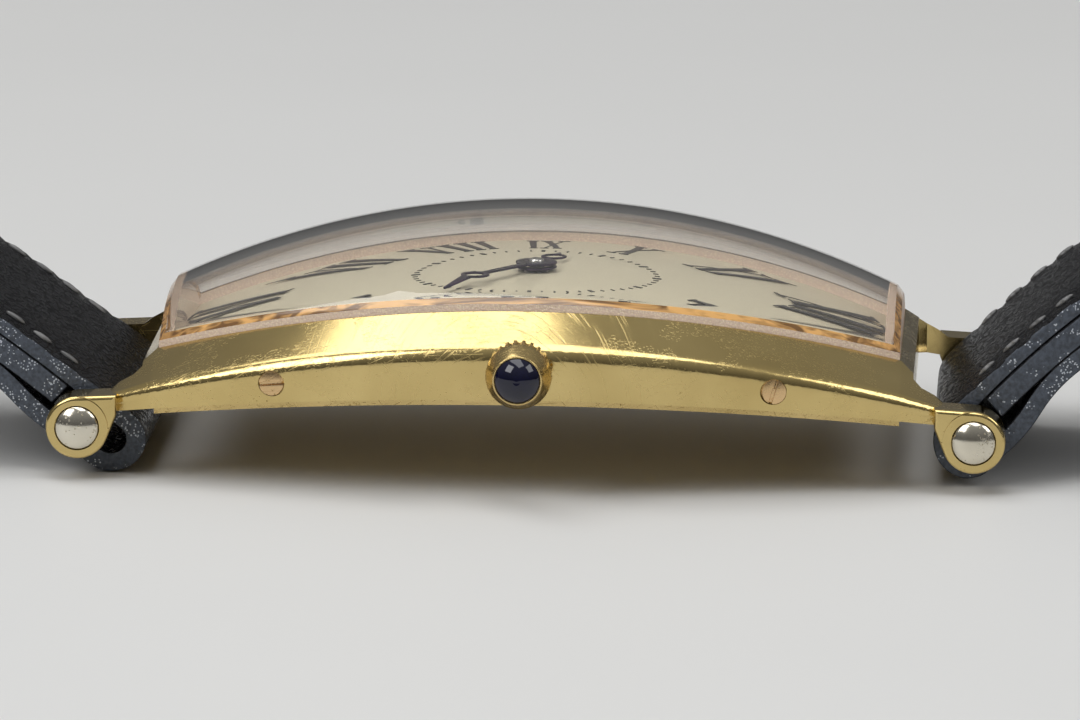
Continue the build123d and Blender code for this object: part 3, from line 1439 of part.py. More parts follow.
def make_short_lining():
    """Lining of the 12 o'clock half."""
    half = short_half
    start = half.loop_outer
    end = half.length - wrap_radius * lining_end_share
    low = -half_thickness
    face = half.band(start, end, low, half_thickness - leather_thickness - layer_gap)
    return half.solid(face, strap_width) & taper(half, strap_width, strap_tip_width)


def make_long_leather():
    """Outer leather of the 6 o'clock half, with its holes and round tip."""
    half = long_half
    face = half.band(0, half.length, half_thickness - leather_thickness, half_thickness) + loop_profile(half)
    solid = half.solid(face, strap_width) & taper(half, strap_width, strap_tip_width)
    return solid - strap_holes() - tip_cut(half, strap_tip_width) - floor_cut()


def make_long_lining():
    """Lining of the 6 o'clock half."""
    half = long_half
    face = half.band(half.loop_outer, half.length, -half_thickness,
                     half_thickness - leather_thickness - layer_gap)
    solid = half.solid(face, strap_width) & taper(half, strap_width, strap_tip_width)
    return solid - strap_holes() - tip_cut(half, strap_tip_width) - floor_cut()


def keeper(distance):
    """A leather keeper round the short half, with room for the long half above it."""
    inner_width = strap_tip_width + SOFT_GAP * 2
    inner_height = half_thickness * 2 + SOFT_GAP * 2 + keeper_room
    outer = RectangleRounded(inner_width + keeper_wall * 2, inner_height + keeper_wall * 2, keeper_wall)
    ring = extrude(outer - Rectangle(inner_width, inner_height), amount=keeper_width / 2, both=True)
    ring = Rot(0, 90, 0) * (Rot(0, 0, 90) * ring)
    lift = keeper_room / 2
    x, y, z = short_half.place(distance, lift)
    return Pos(x, y, z) * (Rot(0, -short_half.slope(distance), 0) * ring)


def make_fixed_keeper():
    """Keeper sewn to the strap by the buckle."""
    return keeper(fixed_keeper_place)


def make_free_keeper():
    """Keeper that slides along the strap."""
    return keeper(free_keeper_place)


# Buckle

def buckle_tilt():
    """Slope at which the buckle's far end comes down to the table."""
    drop = buckle_bar_place()[1] - buckle_height / 2
    return degrees(asin(drop / (buckle_length - buckle_end_bar / 2)))


def to_buckle(shape):
    """Move a shape from the buckle's own frame, where its bar is the origin."""
    x, z = buckle_bar_place()
    return Pos(bar_half_span + x, 0, z) * (Rot(0, buckle_tilt(), 0) * shape)


def make_buckle_frame():
    """Rounded frame of the pin buckle, with ears for its bar."""
    body = Pos(buckle_length / 2, 0) * Rectangle(buckle_length, buckle_outer_width)
    outline = fillet(body.vertices().group_by(Axis.X)[-1], buckle_corner)
    inner_length = buckle_length - buckle_end_bar
    room = Pos(inner_length / 2, 0) * Rectangle(inner_length, buckle_inner_width)
    inner = fillet(room.vertices().group_by(Axis.X)[-1], buckle_corner / 2)
    frame = extrude(outline - inner, amount=buckle_height / 2, both=True)
    ear_width = (buckle_outer_width - buckle_inner_width) / 2
    for side in (-1, 1):
        start = buckle_inner_width / 2 if side > 0 else -buckle_outer_width / 2
        frame = frame + rod_y(buckle_ear_radius, start, start + ear_width)
    frame = frame - rod_y(buckle_bar_radius + FIT, -CUT, CUT)
    return to_buckle(frame) - floor_cut()


def make_buckle_bar():
    """Bar through the buckle's ears and the strap."""
    half = buckle_outer_width / 2 - FIT
    return to_buckle(rod_y(buckle_bar_radius, -half, half))


def make_buckle_tang():
    """Pin that turns on the bar and rests on the frame's far end."""
    eye_outer = buckle_bar_radius + RUNNING_GAP + tang_thickness
    eye = rod_y(eye_outer, -tang_width / 2, tang_width / 2)
    rest = buckle_height / 2 + RUNNING_GAP
    end = buckle_length + tang_overhang
    top = eye_outer
    points = [(0, top), (buckle_end_bar, top), (end - buckle_end_bar, rest + tang_thickness), (end, rest + FIT * 4),
              (end, rest), (buckle_length - buckle_end_bar * tang_bend_share, rest), (buckle_end_bar, top - tang_thickness),
              (0, top - tang_thickness)]
    pin = extrude(Plane.XZ * make_face(Polyline(*points, close=True)), amount=tang_width / 2, both=True)
    return to_buckle(eye + pin - rod_y(buckle_bar_radius + RUNNING_GAP, -CUT, CUT))


# What is written

PIECES = {
    "case_front": make_case_front,
    "case_back": make_case_back,
    "case_screws": make_case_screws,
    "lug_bars": make_lug_bars,
    "lug_bar_heads": make_bar_heads,
    "crystal": make_crystal,
    "crystal_gasket": make_gasket,
    "dial": make_dial,
    "hour_hand": make_hour_hand,
    "minute_hand": make_minute_hand,
    "hour_wheel": make_hour_wheel,
    "cannon_pinion": make_cannon_pinion,
    "minute_wheel": make_minute_wheel,
    "setting_wheel": make_setting_wheel,
    "crown": make_crown,
    "crown_cabochon": make_cabochon,
    "crown_tube": make_crown_tube,
    "winding_stem": make_stem,
    "winding_pinion": make_winding_pinion,
    "sliding_pinion": make_sliding_pinion,
    "setting_lever": make_setting_lever,
    "yoke": make_yoke,
    "setting_lever_spring": make_lever_spring,
    "crown_wheel": make_crown_wheel,
    "ratchet_wheel": make_ratchet_wheel,
    "barrel_arbor": make_barrel_arbor,
    "mainspring_barrel": make_barrel,
    "mainspring": make_mainspring,
    "click": make_click,
    "click_spring": make_click_spring,
    "main_plate": make_main_plate,
    "barrel_bridge": make_barrel_bridge,
    "train_bridge": make_train_bridge,
    "balance_cock": make_balance_cock,
    "pallet_cock": make_pallet_cock,
    "bridge_screws": make_bridge_screws,
    "jewels": make_jewels,
    "movement_ring": make_movement_ring,
    "casing_screws": make_casing_screws,
    "centre_wheel": make_centre_wheel,
    "third_wheel": make_third_wheel,
    "fourth_wheel": make_fourth_wheel,
    "escape_wheel": make_escape_wheel,
    "pallet_fork": make_pallet_fork,
    "balance_wheel": make_balance,
    "hairspring": make_hairspring,
    "regulator": make_regulator,
    "strap_12_leather": make_short_leather,
    "strap_12_lining": make_short_lining,
    "strap_6_leather": make_long_leather,
    "strap_6_lining": make_long_lining,
    "fixed_keeper": make_fixed_keeper,
    "free_keeper": make_free_keeper,
    "buckle_frame": make_buckle_frame,
    "buckle_bar": make_buckle_bar,
    "buckle_tang": make_buckle_tang,
}

shapes = {name: make() for name, make in PIECES.items()}
right_end = shapes["buckle_tang"].bounding_box().max.X
left_end = shapes["strap_6_leather"].bounding_box().min.X
crown_side = shapes["crown_cabochon"].bounding_box().min.Y
far_side = shapes["case_front"].bounding_box().max.Y
case_shift = -(right_end + left_end) / 2
side_shift = -(crown_side + far_side) / 2

os.makedirs("parts", exist_ok=True)
for name, shape in shapes.items():
    export_step(Pos(case_shift, side_shift, 0) * shape, f"parts/{name}.step")
print("case middle at X", round(case_shift, 4), "and Y", round(side_shift, 4))
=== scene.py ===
import logging
import math
from dataclasses import dataclass, field
from enum import Enum
from typing import Callable

import bmesh
import bpy
from bpy.types import Material, Node, NodeSocket, NodeTree, Object
from mathutils import Matrix, Vector


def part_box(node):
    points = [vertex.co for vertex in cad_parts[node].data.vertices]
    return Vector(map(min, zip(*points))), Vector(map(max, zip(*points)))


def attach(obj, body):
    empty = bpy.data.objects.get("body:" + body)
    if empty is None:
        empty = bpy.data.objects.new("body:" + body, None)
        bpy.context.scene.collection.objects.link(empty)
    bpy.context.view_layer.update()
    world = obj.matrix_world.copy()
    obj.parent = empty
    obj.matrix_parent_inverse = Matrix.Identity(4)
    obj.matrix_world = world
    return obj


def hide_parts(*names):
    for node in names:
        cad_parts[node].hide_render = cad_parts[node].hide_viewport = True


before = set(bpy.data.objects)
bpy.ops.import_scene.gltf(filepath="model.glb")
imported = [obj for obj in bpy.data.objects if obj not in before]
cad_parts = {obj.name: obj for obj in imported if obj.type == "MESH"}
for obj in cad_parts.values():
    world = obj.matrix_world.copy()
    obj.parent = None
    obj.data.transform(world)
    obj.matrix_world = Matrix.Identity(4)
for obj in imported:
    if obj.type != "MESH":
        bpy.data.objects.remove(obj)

logging.basicConfig(level=logging.INFO, format="%(message)s")
LOG = logging.getLogger("watch")
MM = 0.001
DIAL_LIFT = 1.1
GLASS_IOR = 1.52
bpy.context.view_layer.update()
CASE_LOW, CASE_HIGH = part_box("case_front")
CASE_MIDDLE = Vector(((CASE_LOW.x + CASE_HIGH.x) / 2, (CASE_LOW.y + CASE_HIGH.y) / 2, 0))
Triple = tuple[float, float, float]
Colour = Triple
Chooser = Callable[[Vector], bool]
Rule = Callable[[float, float], Vector]
Sockets = dict[str, NodeSocket]


def place(x: float, y: float, z: float) -> Vector:
    """A point of the watch."""
    return CASE_MIDDLE + Vector((x, y, z)) * MM


def arc_drop(radius: float, distance: float) -> float:
    """How far an arc falls below its crown."""
    return radius - math.sqrt(radius ** 2 - distance ** 2)


def held(value: float, low: float = 0.0, high: float = 1.0) -> float:
    """A value held between two limits."""
    return min(high, max(low, value))


class Side(Enum):
    """Which end of the case a strap half hangs from."""

    TWELVE = 1
    SIX = -1


# Modelling


class Bench:
    """The moves of Blender's own tools that every piece shares."""

    @staticmethod
    def hold(piece: Object) -> None:
        """Select one piece alone and make it active.

        Args:
            piece: The piece to work on.
        """
        for item in bpy.context.selected_objects:
            item.select_set(False)
        piece.select_set(True)
        bpy.context.view_layer.objects.active = piece

    @staticmethod
    def add(name: str, data: bpy.types.ID) -> Object:
        """Put new data into the scene.

        Args:
            name: Name of the new object.
            data: Its mesh, camera or lamp.

        Returns:
            The object.
        """
        piece = bpy.data.objects.new(name, data)
        bpy.context.scene.collection.objects.link(piece)
        return piece

    @staticmethod
    def take_all() -> None:
        """Select the whole mesh in edit mode."""
        bpy.ops.mesh.select_all(action="SELECT")

    @staticmethod
    def cut(piece: Object, tool: Object) -> None:
        """Cut a piece with a tool and remove the tool."""
        Bench.modify(piece, "BOOLEAN", object=tool, operation="DIFFERENCE", solver="EXACT")
        bpy.data.objects.remove(tool)

    @staticmethod
    def fix_place(piece: Object) -> None:
        """Put a piece's place, turn and scale into its mesh."""
        Bench.hold(piece)
        bpy.ops.object.transform_apply(location=True, rotation=True, scale=True)

    @staticmethod
    def named(name: str) -> Object:
        """Name the piece that a tool has just added.

        Args:
            name: The new name.

        Returns:
            The piece.
        """
        piece = bpy.context.active_object
        piece.name = name
        piece.data.name = name
        return piece

    @staticmethod
    def edit(piece: Object) -> bmesh.types.BMesh:
        """Enter edit mode on a piece with nothing selected.

        Args:
            piece: The piece to work on.

        Returns:
            The mesh that edit mode shows.
        """
        Bench.hold(piece)
        bpy.ops.object.mode_set(mode="EDIT")
        bpy.ops.mesh.select_all(action="DESELECT")
        return bmesh.from_edit_mesh(piece.data)

    @staticmethod
    def leave() -> None:
        """Go back to object mode."""
        bpy.ops.object.mode_set(mode="OBJECT")

    @staticmethod
    def pick(piece: Object, mesh: bmesh.types.BMesh, chosen: Chooser) -> int:
        """Select the vertices that a test chooses, and what lies between them.

        Args:
            piece: The piece in edit mode.
            mesh: Its edit mesh.
            chosen: The test, given a vertex's place.

        Returns:
            How many vertices are selected.
        """
        bpy.ops.mesh.select_mode(type="VERT")
        bpy.ops.mesh.select_all(action="DESELECT")
        count = 0
        for vertex in mesh.verts:
            if chosen(vertex.co):
                vertex.select_set(True)
                count += 1
        mesh.select_flush_mode()
        bmesh.update_edit_mesh(piece.data)
        return count

    @staticmethod
    def modify(piece: Object, kind: str, **settings: object) -> None:
        """Add a modifier, set it and apply it.

        Args:
            piece: The piece to finish.
            kind: Blender's name of the modifier.
            **settings: The modifier's own settings.
        """
        Bench.hold(piece)
        modifier = piece.modifiers.new(kind.title(), kind)
        for key, value in settings.items():
            setattr(modifier, key, value)
        bpy.ops.object.modifier_apply(modifier=modifier.name)

    @staticmethod
    def smooth(piece: Object, degrees: float = 35) -> None:
        """Shade a piece smooth up to an angle."""
        Bench.hold(piece)
        bpy.ops.object.shade_smooth_by_angle(angle=math.radians(degrees))

    @staticmethod
    def copy_node(node: str, name: str, merge: float = 0.002) -> Object:
        """Copy a CAD node's form to a new piece and close its seams.

        Args:
            node: The CAD node.
            name: The new piece's name.
            merge: Points nearer than this become one.

        Returns:
            The new piece.
        """
        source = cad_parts[node]
        piece = Bench.add(name, source.data.copy())
        piece.data.name = name
        piece.data.materials.clear()
        Bench.hold(piece)
        if piece.data.has_custom_normals:
            bpy.ops.mesh.customdata_custom_splitnormals_clear()
        Bench.edit(piece)
        Bench.take_all()
        bpy.ops.mesh.remove_doubles(threshold=merge * MM)
        bpy.ops.mesh.dissolve_limited(angle_limit=math.radians(0.5))
        Bench.leave()
        return piece

    @staticmethod
    def soften(piece: Object, width: float, segments: int = 2, degrees: float = 35) -> None:
        """Round a piece's sharp edges and shade it.

        Args:
            piece: The piece to finish.
            width: Width of the rounding.
            segments: Faces across the rounding.
            degrees: Edges sharper than this are rounded.
        """
        Bench.modify(piece, "BEVEL", width=width * MM, segments=segments, limit_method="ANGLE",
                     angle_limit=math.radians(degrees), use_clamp_overlap=True)
        Bench.smooth(piece, degrees)

    @staticmethod
    def join(pieces: list[Object], name: str) -> Object:
        """Join pieces into one.

        Args:
            pieces: The pieces, the first of which takes the rest.
            name: Name of the whole.

        Returns:
            The joined piece.
        """
        Bench.hold(pieces[0])
        for piece in pieces[1:]:
            piece.select_set(True)
        bpy.ops.object.join()
        return Bench.named(name)

    @staticmethod
    def copy_to(pattern: Object, matrices: list[Matrix], name: str) -> Object:
        """Copy a small pattern piece to many places, each with its own mesh, and join them.

        Args:
            pattern: The piece to copy, which is removed at the end.
            matrices: Where each copy goes.
            name: Name of the whole.

        Returns:
            The joined copies.
        """
        copies = []
        for matrix in matrices:
            mesh = pattern.data.copy()
            mesh.transform(matrix)
            copies.append(Bench.add(name, mesh))
        bpy.data.objects.remove(pattern)
        return Bench.join(copies, name)

    @staticmethod
    def outward(piece: Object) -> None:
        """Close a piece's open ends and point its faces outwards.

        Args:
            piece: The piece to mend.
        """
        Bench.edit(piece)
        Bench.take_all()
        bpy.ops.mesh.remove_doubles(threshold=MM / 1000)
        Bench.take_all()
        bpy.ops.mesh.fill_holes(sides=0)
        Bench.take_all()
        bpy.ops.mesh.normals_make_consistent(inside=False)
        Bench.leave()

    @staticmethod
    def dress(piece: Object, *materials: Material) -> None:
        """Give a piece its materials.

        Args:
            piece: The piece.
            *materials: One for each material slot, in order.
        """
        piece.data.materials.clear()
        for material in materials:
            piece.data.materials.append(material)


# Shader parts


class Nodes:
    """A node tree that is being wired."""

    def __init__(self, tree: NodeTree) -> None:
        """Start on a tree."""
        self.tree = tree

    def add(self, kind: str, inputs: dict[str | int, object] | None = None, **settings: object) -> Node:
        """Add a node, with its settings and inputs.

        Args:
            kind: Type name of the node without its prefix.
            inputs: A value or an output socket for each input.
            **settings: The node's own settings.

        Returns:
            The new node.
        """
        node = self.tree.nodes.new("ShaderNode" + kind)
        for key, value in settings.items():
            setattr(node, key, value)
        self.feed(node, inputs or {})
        return node

    def feed(self, node: Node, inputs: dict[str | int, object]) -> None:
        """Link or set a node's inputs.

        Args:
            node: The node.
            inputs: A value or an output socket for each input.
        """
        for key, value in inputs.items():
            if isinstance(value, NodeSocket):
                self.tree.links.new(value, node.inputs[key])
            else:
                node.inputs[key].default_value = value

    def math(self, operation: str, first: object, second: object = 0.0) -> NodeSocket:
        """Work out one number from two."""
        return self.add("Math", {0: first, 1: second}, operation=operation).outputs[0]

    def times(self, first: object, second: object) -> NodeSocket:
        """The product of two numbers or sockets."""
        return self.math("MULTIPLY", first, second)

    def vector(self, operation: str, first: object, second: object) -> NodeSocket:
        """Work out one vector from two, each a value or a socket."""
        return self.add("VectorMath", {0: first, 1: second}, operation=operation).outputs[0]

    def noise(self, point: object, scale: object, detail: float = 2.0) -> NodeSocket:
        """A noise of the given scale and detail at a point."""
        return self.add("TexNoise", {"Vector": point, "Scale": scale, "Detail": detail}).outputs["Fac"]

    def spread(self, value: object, low: float, high: float, start: float = 0.0,
               end: float = 1.0) -> NodeSocket:
        """Map a number from one span to another, held at its ends.

        Args:
            value: The socket to map.
            low: Start of the span it comes from.
            high: End of the span it comes from.
            start: Result at the low end.
            end: Result at the high end.

        Returns:
            The result's socket.
        """
        node = self.add("MapRange", {"Value": value, "From Min": low, "From Max": high, "To Min": start,
                                     "To Max": end})
        return node.outputs["Result"]

    def mix(self, share: object, first: object, second: object) -> NodeSocket:
        """Mix two colours.

        Args:
            share: How much of the second.
            first: A colour or a socket.
            second: A colour or a socket.

        Returns:
            The mixed colour's socket.
        """
        start, end = (value if isinstance(value, NodeSocket) else (*value, 1)
                      for value in (first, second))
        return self.add("Mix", {0: share, 6: start, 7: end}, data_type="RGBA").outputs[2]


class Effect:
    """A shader node group that several finishes share."""

    name = "effect"
    inputs: dict[str, tuple[str, object]] = {}
    outputs: tuple[str, ...] = ("Mask",)
    made: dict[str, NodeTree] = {}

    def wire(self, nodes: Nodes, take: Sockets) -> Sockets:
        """Wire the group's inside."""
        raise NotImplementedError

    def tree(self) -> NodeTree:
        """The group, built when it is first asked for.

        Returns:
            The group.
        """
        if self.name not in self.made:
            tree = bpy.data.node_groups.new(self.name, "ShaderNodeTree")
            for key, (kind, value) in self.inputs.items():
                socket = tree.interface.new_socket(name=key, in_out="INPUT", socket_type="NodeSocket" + kind)
                if kind == "Float":
                    socket.default_value = value
            for key in self.outputs:
                tree.interface.new_socket(name=key, in_out="OUTPUT", socket_type="NodeSocketFloat")
            source = tree.nodes.new("NodeGroupInput")
            target = tree.nodes.new("NodeGroupOutput")
            for key, socket in self.wire(Nodes(tree), source.outputs).items():
                tree.links.new(socket, target.inputs[key])
            self.made[self.name] = tree
        return self.made[self.name]

    def use(self, nodes: Nodes, **values: object) -> Node:
        """Place the group in a material.

        Args:
            nodes: The material's nodes.
            **values: A value or a socket for each input.

        Returns:
            The group's node.
        """
        node = nodes.tree.nodes.new("ShaderNodeGroup")
        node.node_tree = self.tree()
        nodes.feed(node, values)
        return node

    def mask(self, nodes: Nodes, **values: object) -> NodeSocket:
        """Place the group in a material and take its mask."""
        return self.use(nodes, **values).outputs["Mask"]


class HairScratches(Effect):
    """Fine straight scratches that run one way, broken up into patches."""

    name = "hair_scratches"
    inputs = {"Point": ("Vector", None), "Turn": ("Float", 0.0), "Fineness": ("Float", 9000.0),
              "Length": ("Float", 400.0), "Amount": ("Float", 0.5)}

    def wire(self, nodes: Nodes, take: Sockets) -> Sockets:
        """Stretch a noise along one direction and keep its thin peaks.

        Args:
            nodes: The group's nodes.
            take: The group's input sockets.

        Returns:
            The scratch mask.
        """
        spin = nodes.add("CombineXYZ", {"Y": take["Turn"]})
        turned = nodes.add("VectorRotate", {"Vector": take["Point"], "Rotation": spin.outputs[0]},
                           rotation_type="EULER_XYZ")
        size = nodes.add("CombineXYZ", {"X": take["Length"], "Y": take["Fineness"],
                                        "Z": take["Fineness"]})
        scaled = nodes.vector("MULTIPLY", turned.outputs[0], size.outputs[0])
        lines = nodes.spread(nodes.noise(scaled, 1.0), 0.62, 0.70)
        patch = nodes.noise(take["Point"], 420.0)
        shown = nodes.math("GREATER_THAN", take["Amount"], patch)
        return {"Mask": nodes.times(lines, nodes.math("MAXIMUM", shown, 0.15))}


class ArcScratches(Effect):
    """Fine scratches that curve round a point, such as a crown that is wound by hand."""

    name = "arc_scratches"
    inputs = {"Point": ("Vector", None), "Centre": ("Vector", None), "Reach": ("Float", 0.012)}

    def wire(self, nodes: Nodes, take: Sockets) -> Sockets:
        """Keep thin rings of a noise laid out by distance and bearing.

        Args:
            nodes: The group's nodes.
            take: The group's input sockets.

        Returns:
            The scratch mask.
        """
        away = nodes.vector("SUBTRACT", take["Point"], take["Centre"])
        parts = nodes.add("SeparateXYZ", {0: away})
        flat = nodes.add("CombineXYZ", {"X": parts.outputs["X"], "Z": parts.outputs["Z"]})
        distance = nodes.add("VectorMath", {0: flat.outputs[0]}, operation="LENGTH").outputs["Value"]
        bearing = nodes.math("ARCTAN2", parts.outputs["Z"], parts.outputs["X"])
        polar = nodes.add("CombineXYZ", {"X": nodes.times(distance, 9000.0),
                                         "Y": nodes.times(bearing, 2.5)})
        lines = nodes.spread(nodes.noise(polar.outputs[0], 1.0), 0.58, 0.68)
        near = nodes.math("DIVIDE", distance, take["Reach"])
        return {"Mask": nodes.times(lines, nodes.spread(near, 0.45, 1.0, 1.0, 0.0))}


class Pitting(Effect):
    """Small nicks and specks in patches."""

    name = "pitting"
    inputs = {"Point": ("Vector", None), "Scale": ("Float", 5000.0), "Size": ("Float", 0.25),
              "Amount": ("Float", 0.5)}

    def wire(self, nodes: Nodes, take: Sockets) -> Sockets:
        """Keep the middles of small cells where a broad noise is high.

        Args:
            nodes: The group's nodes.
            take: The group's input sockets.

        Returns:
            The nick mask.
        """
        cells = nodes.add("TexVoronoi", {"Vector": take["Point"], "Scale": take["Scale"]})
        inside = nodes.math("LESS_THAN", cells.outputs["Distance"], take["Size"])
        patch = nodes.noise(take["Point"], 900.0, 3.0)
        shown = nodes.math("GREATER_THAN", take["Amount"], patch)
        return {"Mask": nodes.times(inside, shown)}


class LeatherGrain(Effect):
    """Pebbled grain with creases between the pebbles."""

    name = "leather_grain"
    inputs = {"Point": ("Vector", None), "Scale": ("Float", 2600.0)}
    outputs = ("Height", "Crease")

    def wire(self, nodes: Nodes, take: Sockets) -> Sockets:
        """Warp a cell pattern and add a finer one.

        Args:
            nodes: The group's nodes.
            take: The group's input sockets.

        Returns:
            The grain's height and its creases.
        """
        warp = nodes.add("TexNoise", {"Vector": take["Point"], "Scale": 1500.0, "Detail": 2.0})
        shift = nodes.add("VectorMath", {0: warp.outputs["Color"], "Scale": 0.00035}, operation="SCALE")
        moved = nodes.vector("ADD", take["Point"], shift.outputs[0])
        cells = nodes.add("TexVoronoi", {"Vector": moved, "Scale": take["Scale"]},
                          feature="DISTANCE_TO_EDGE")
        crease = nodes.spread(cells.outputs["Distance"], 0.0, 0.16, 1.0, 0.0)
        fine = nodes.noise(take["Point"], 9000.0, 3.0)
        height = nodes.math("SUBTRACT", nodes.times(fine, 0.35), crease)
        return {"Height": height, "Crease": crease}


class Cloudiness(Effect):
    """Soft broad variation."""

    name = "cloudiness"
    inputs = {"Point": ("Vector", None), "Scale": ("Float", 300.0)}

    def wire(self, nodes: Nodes, take: Sockets) -> Sockets:
        """Spread a broad noise over nought to one."""
        noise = nodes.noise(take["Point"], take["Scale"], 3.0)
        return {"Mask": nodes.spread(noise, 0.3, 0.7)}


# Finishes


@dataclass(frozen=True)
class Finish:
    """What every finish has: a name, a colour, and how shiny it is."""

    name: str
    colour: Colour
    roughness: float = 0.3
    metallic: float = 0.0

    def start(self) -> tuple[Material, Nodes, Node, NodeSocket]:
        """Start the material.

        Returns:
            The material, its nodes, its main shader and the point on the piece.
        """
        material = bpy.data.materials.new(self.name)
        material.use_nodes = True
        material.diffuse_color = (*self.colour, 1)
        nodes = Nodes(material.node_tree)
        shader = material.node_tree.nodes["Principled BSDF"]
        shader.inputs["Base Color"].default_value = (*self.colour, 1)
        shader.inputs["Roughness"].default_value = self.roughness
        shader.inputs["Metallic"].default_value = self.metallic
        point = nodes.add("TexCoord").outputs["Object"]
        return material, nodes, shader, point

    def bump(self, nodes: Nodes, shader: Node, height: NodeSocket, depth: float,
             strength: float = 1.0) -> None:
        """Let a height tilt the surface."""
        node = nodes.add("Bump", {"Height": height, "Distance": depth * MM, "Strength": strength})
        nodes.feed(shader, {"Normal": node.outputs[0]})

    def roughen(self, nodes: Nodes, shader: Node, share: NodeSocket, extra: float) -> None:
        """Make the surface rougher where a share of nought to one is high."""
        rough = nodes.spread(share, 0, 1, self.roughness, self.roughness + extra)
        nodes.feed(shader, {"Roughness": rough})

    def shade(self, factor: float) -> Colour:
        """The finish's colour, darker or paler."""
        return tuple(part * factor for part in self.colour)

    def make(self) -> Material:
        """Build the material."""
        raise NotImplementedError


@dataclass(frozen=True)
class PolishedGold(Finish):
    """Yellow gold polished long ago and worn since."""

    deep: Colour = (0.36, 0.25, 0.08)
    scratch: float = 0.5
    nicks: float = 0.3
    crown_centre: Triple | None = None
    hairs: tuple[Triple, ...] = ((0.5, 9000.0, 400.0), (-0.9, 12000.0, 700.0), (0.05, 14000.0, 300.0))

    def make(self) -> Material:
        """Build the gold with its scratches, nicks and slight tarnish.

        Returns:
            The material.
        """
        material, nodes, shader, point = self.start()
        layers = [HairScratches().mask(nodes, Point=point, Turn=turn, Fineness=fineness, Length=length,
                                       Amount=self.scratch)
                  for turn, fineness, length in self.hairs]
        if self.crown_centre is not None:
            layers.append(ArcScratches().mask(nodes, Point=point, Centre=place(*self.crown_centre)))
        marks = layers[0]
        for layer in layers[1:]:
            marks = nodes.math("MAXIMUM", marks, layer)
        nicks = Pitting().mask(nodes, Point=point, Amount=self.nicks)
        cloud = Cloudiness().mask(nodes, Point=point, Scale=260.0)
        tone = nodes.mix(nodes.times(cloud, 0.35), self.colour, self.deep)
        tone = nodes.mix(nodes.times(nicks, 0.5), tone, self.deep)
        rough = nodes.math("ADD", nodes.times(marks, 0.22),
                           nodes.spread(cloud, 0, 1, self.roughness, self.roughness * 1.5))
        rough = nodes.math("ADD", rough, nodes.times(nicks, 0.2))
        nodes.feed(shader, {"Base Color": tone, "Roughness": rough})
        height = nodes.math("ADD", nodes.times(marks, -0.5), nodes.times(nicks, -1.0))
        self.bump(nodes, shader, height, 0.006, 0.7)
        return material


@dataclass(frozen=True)
class WorkedMetal(Finish):
    """Plain metal of the movement, with a brushed grain."""

    grain: float = 3000.0
    along: float = 150.0

    def make(self) -> Material:
        """Build the brushed metal.

        Returns:
            The material.
        """
        material, nodes, shader, point = self.start()
        lines = HairScratches().mask(nodes, Point=point, Fineness=self.grain, Length=self.along, Amount=0.8)
        cloud = Cloudiness().mask(nodes, Point=point, Scale=700.0)
        tone = nodes.mix(nodes.times(cloud, 0.4), self.colour, self.shade(0.7))
        rough = nodes.math("ADD", nodes.times(lines, 0.15), self.roughness)
        nodes.feed(shader, {"Base Color": tone, "Roughness": rough})
        self.bump(nodes, shader, lines, 0.003, 0.5)
        return material


@dataclass(frozen=True)
class ClearGlass(Finish):
    """Thick clear glass that lets light through to the dial."""

    def make(self) -> Material:
        """Build the glass, with faint hairlines and a shadow that lets light pass.

        Returns:
            The material.
        """
        material, nodes, shader, point = self.start()
        shader.inputs["Transmission Weight"].default_value = 1.0
        shader.inputs["IOR"].default_value = GLASS_IOR
        hairs = HairScratches().mask(nodes, Point=point, Turn=0.7, Amount=0.42)
        self.roughen(nodes, shader, hairs, 0.03)
        path = nodes.add("LightPath")
        nodes.feed(shader, {"Alpha": nodes.spread(path.outputs["Is Shadow Ray"], 0, 1, 1.0, 0.06)})
        return material


@dataclass(frozen=True)
class GroundGlass(Finish):
    """The ground side edge of the glass, with bright grains."""

    grain: Colour = (0.80, 0.63, 0.52)

    def make(self) -> Material:
        """Build the frosted edge.

        Returns:
            The material.
        """
        material, nodes, shader, point = self.start()
        shader.inputs["Transmission Weight"].default_value = 0.1
        shader.inputs["IOR"].default_value = GLASS_IOR
        grains = nodes.add("TexVoronoi", {"Vector": point, "Scale": 9000.0})
        bright = nodes.spread(grains.outputs["Distance"], 0.2, 0.5, 1.0, 0.0)
        nodes.feed(shader, {"Base Color": nodes.mix(bright, self.grain, self.colour)})
        self.bump(nodes, shader, grains.outputs["Distance"], 0.03)
        return material


@dataclass(frozen=True)
class BevelGoldReflection(Finish):
    """The bevel of the glass, whose orange colour with long dark streaks is a painted reflection of the gold
    under it.
    """

    dark: Colour = (0.16, 0.07, 0.015)
    streaks: Triple = (170.0, 1900.0, 1900.0)

    def make(self) -> Material:
        """Build the bevel's painted reflection of the gold, with its long streaks.

        Returns:
            The material.
        """
        material, nodes, shader, point = self.start()
        shader.inputs["Transmission Weight"].default_value = 0.15
        shader.inputs["Coat Weight"].default_value = 0.6
        shader.inputs["Coat Roughness"].default_value = 0.04
        size = nodes.vector("MULTIPLY", point, self.streaks)
        warp = nodes.add("TexNoise", {"Vector": size, "Scale": 1.0, "Detail": 2.0, "Distortion": 1.2})
        streak = nodes.spread(warp.outputs["Fac"], 0.38, 0.62)
        # painted reflection: the gold seen through the bevel is painted into its colour
        nodes.feed(shader, {"Base Color": nodes.mix(streak, self.colour, self.dark)})
        return material


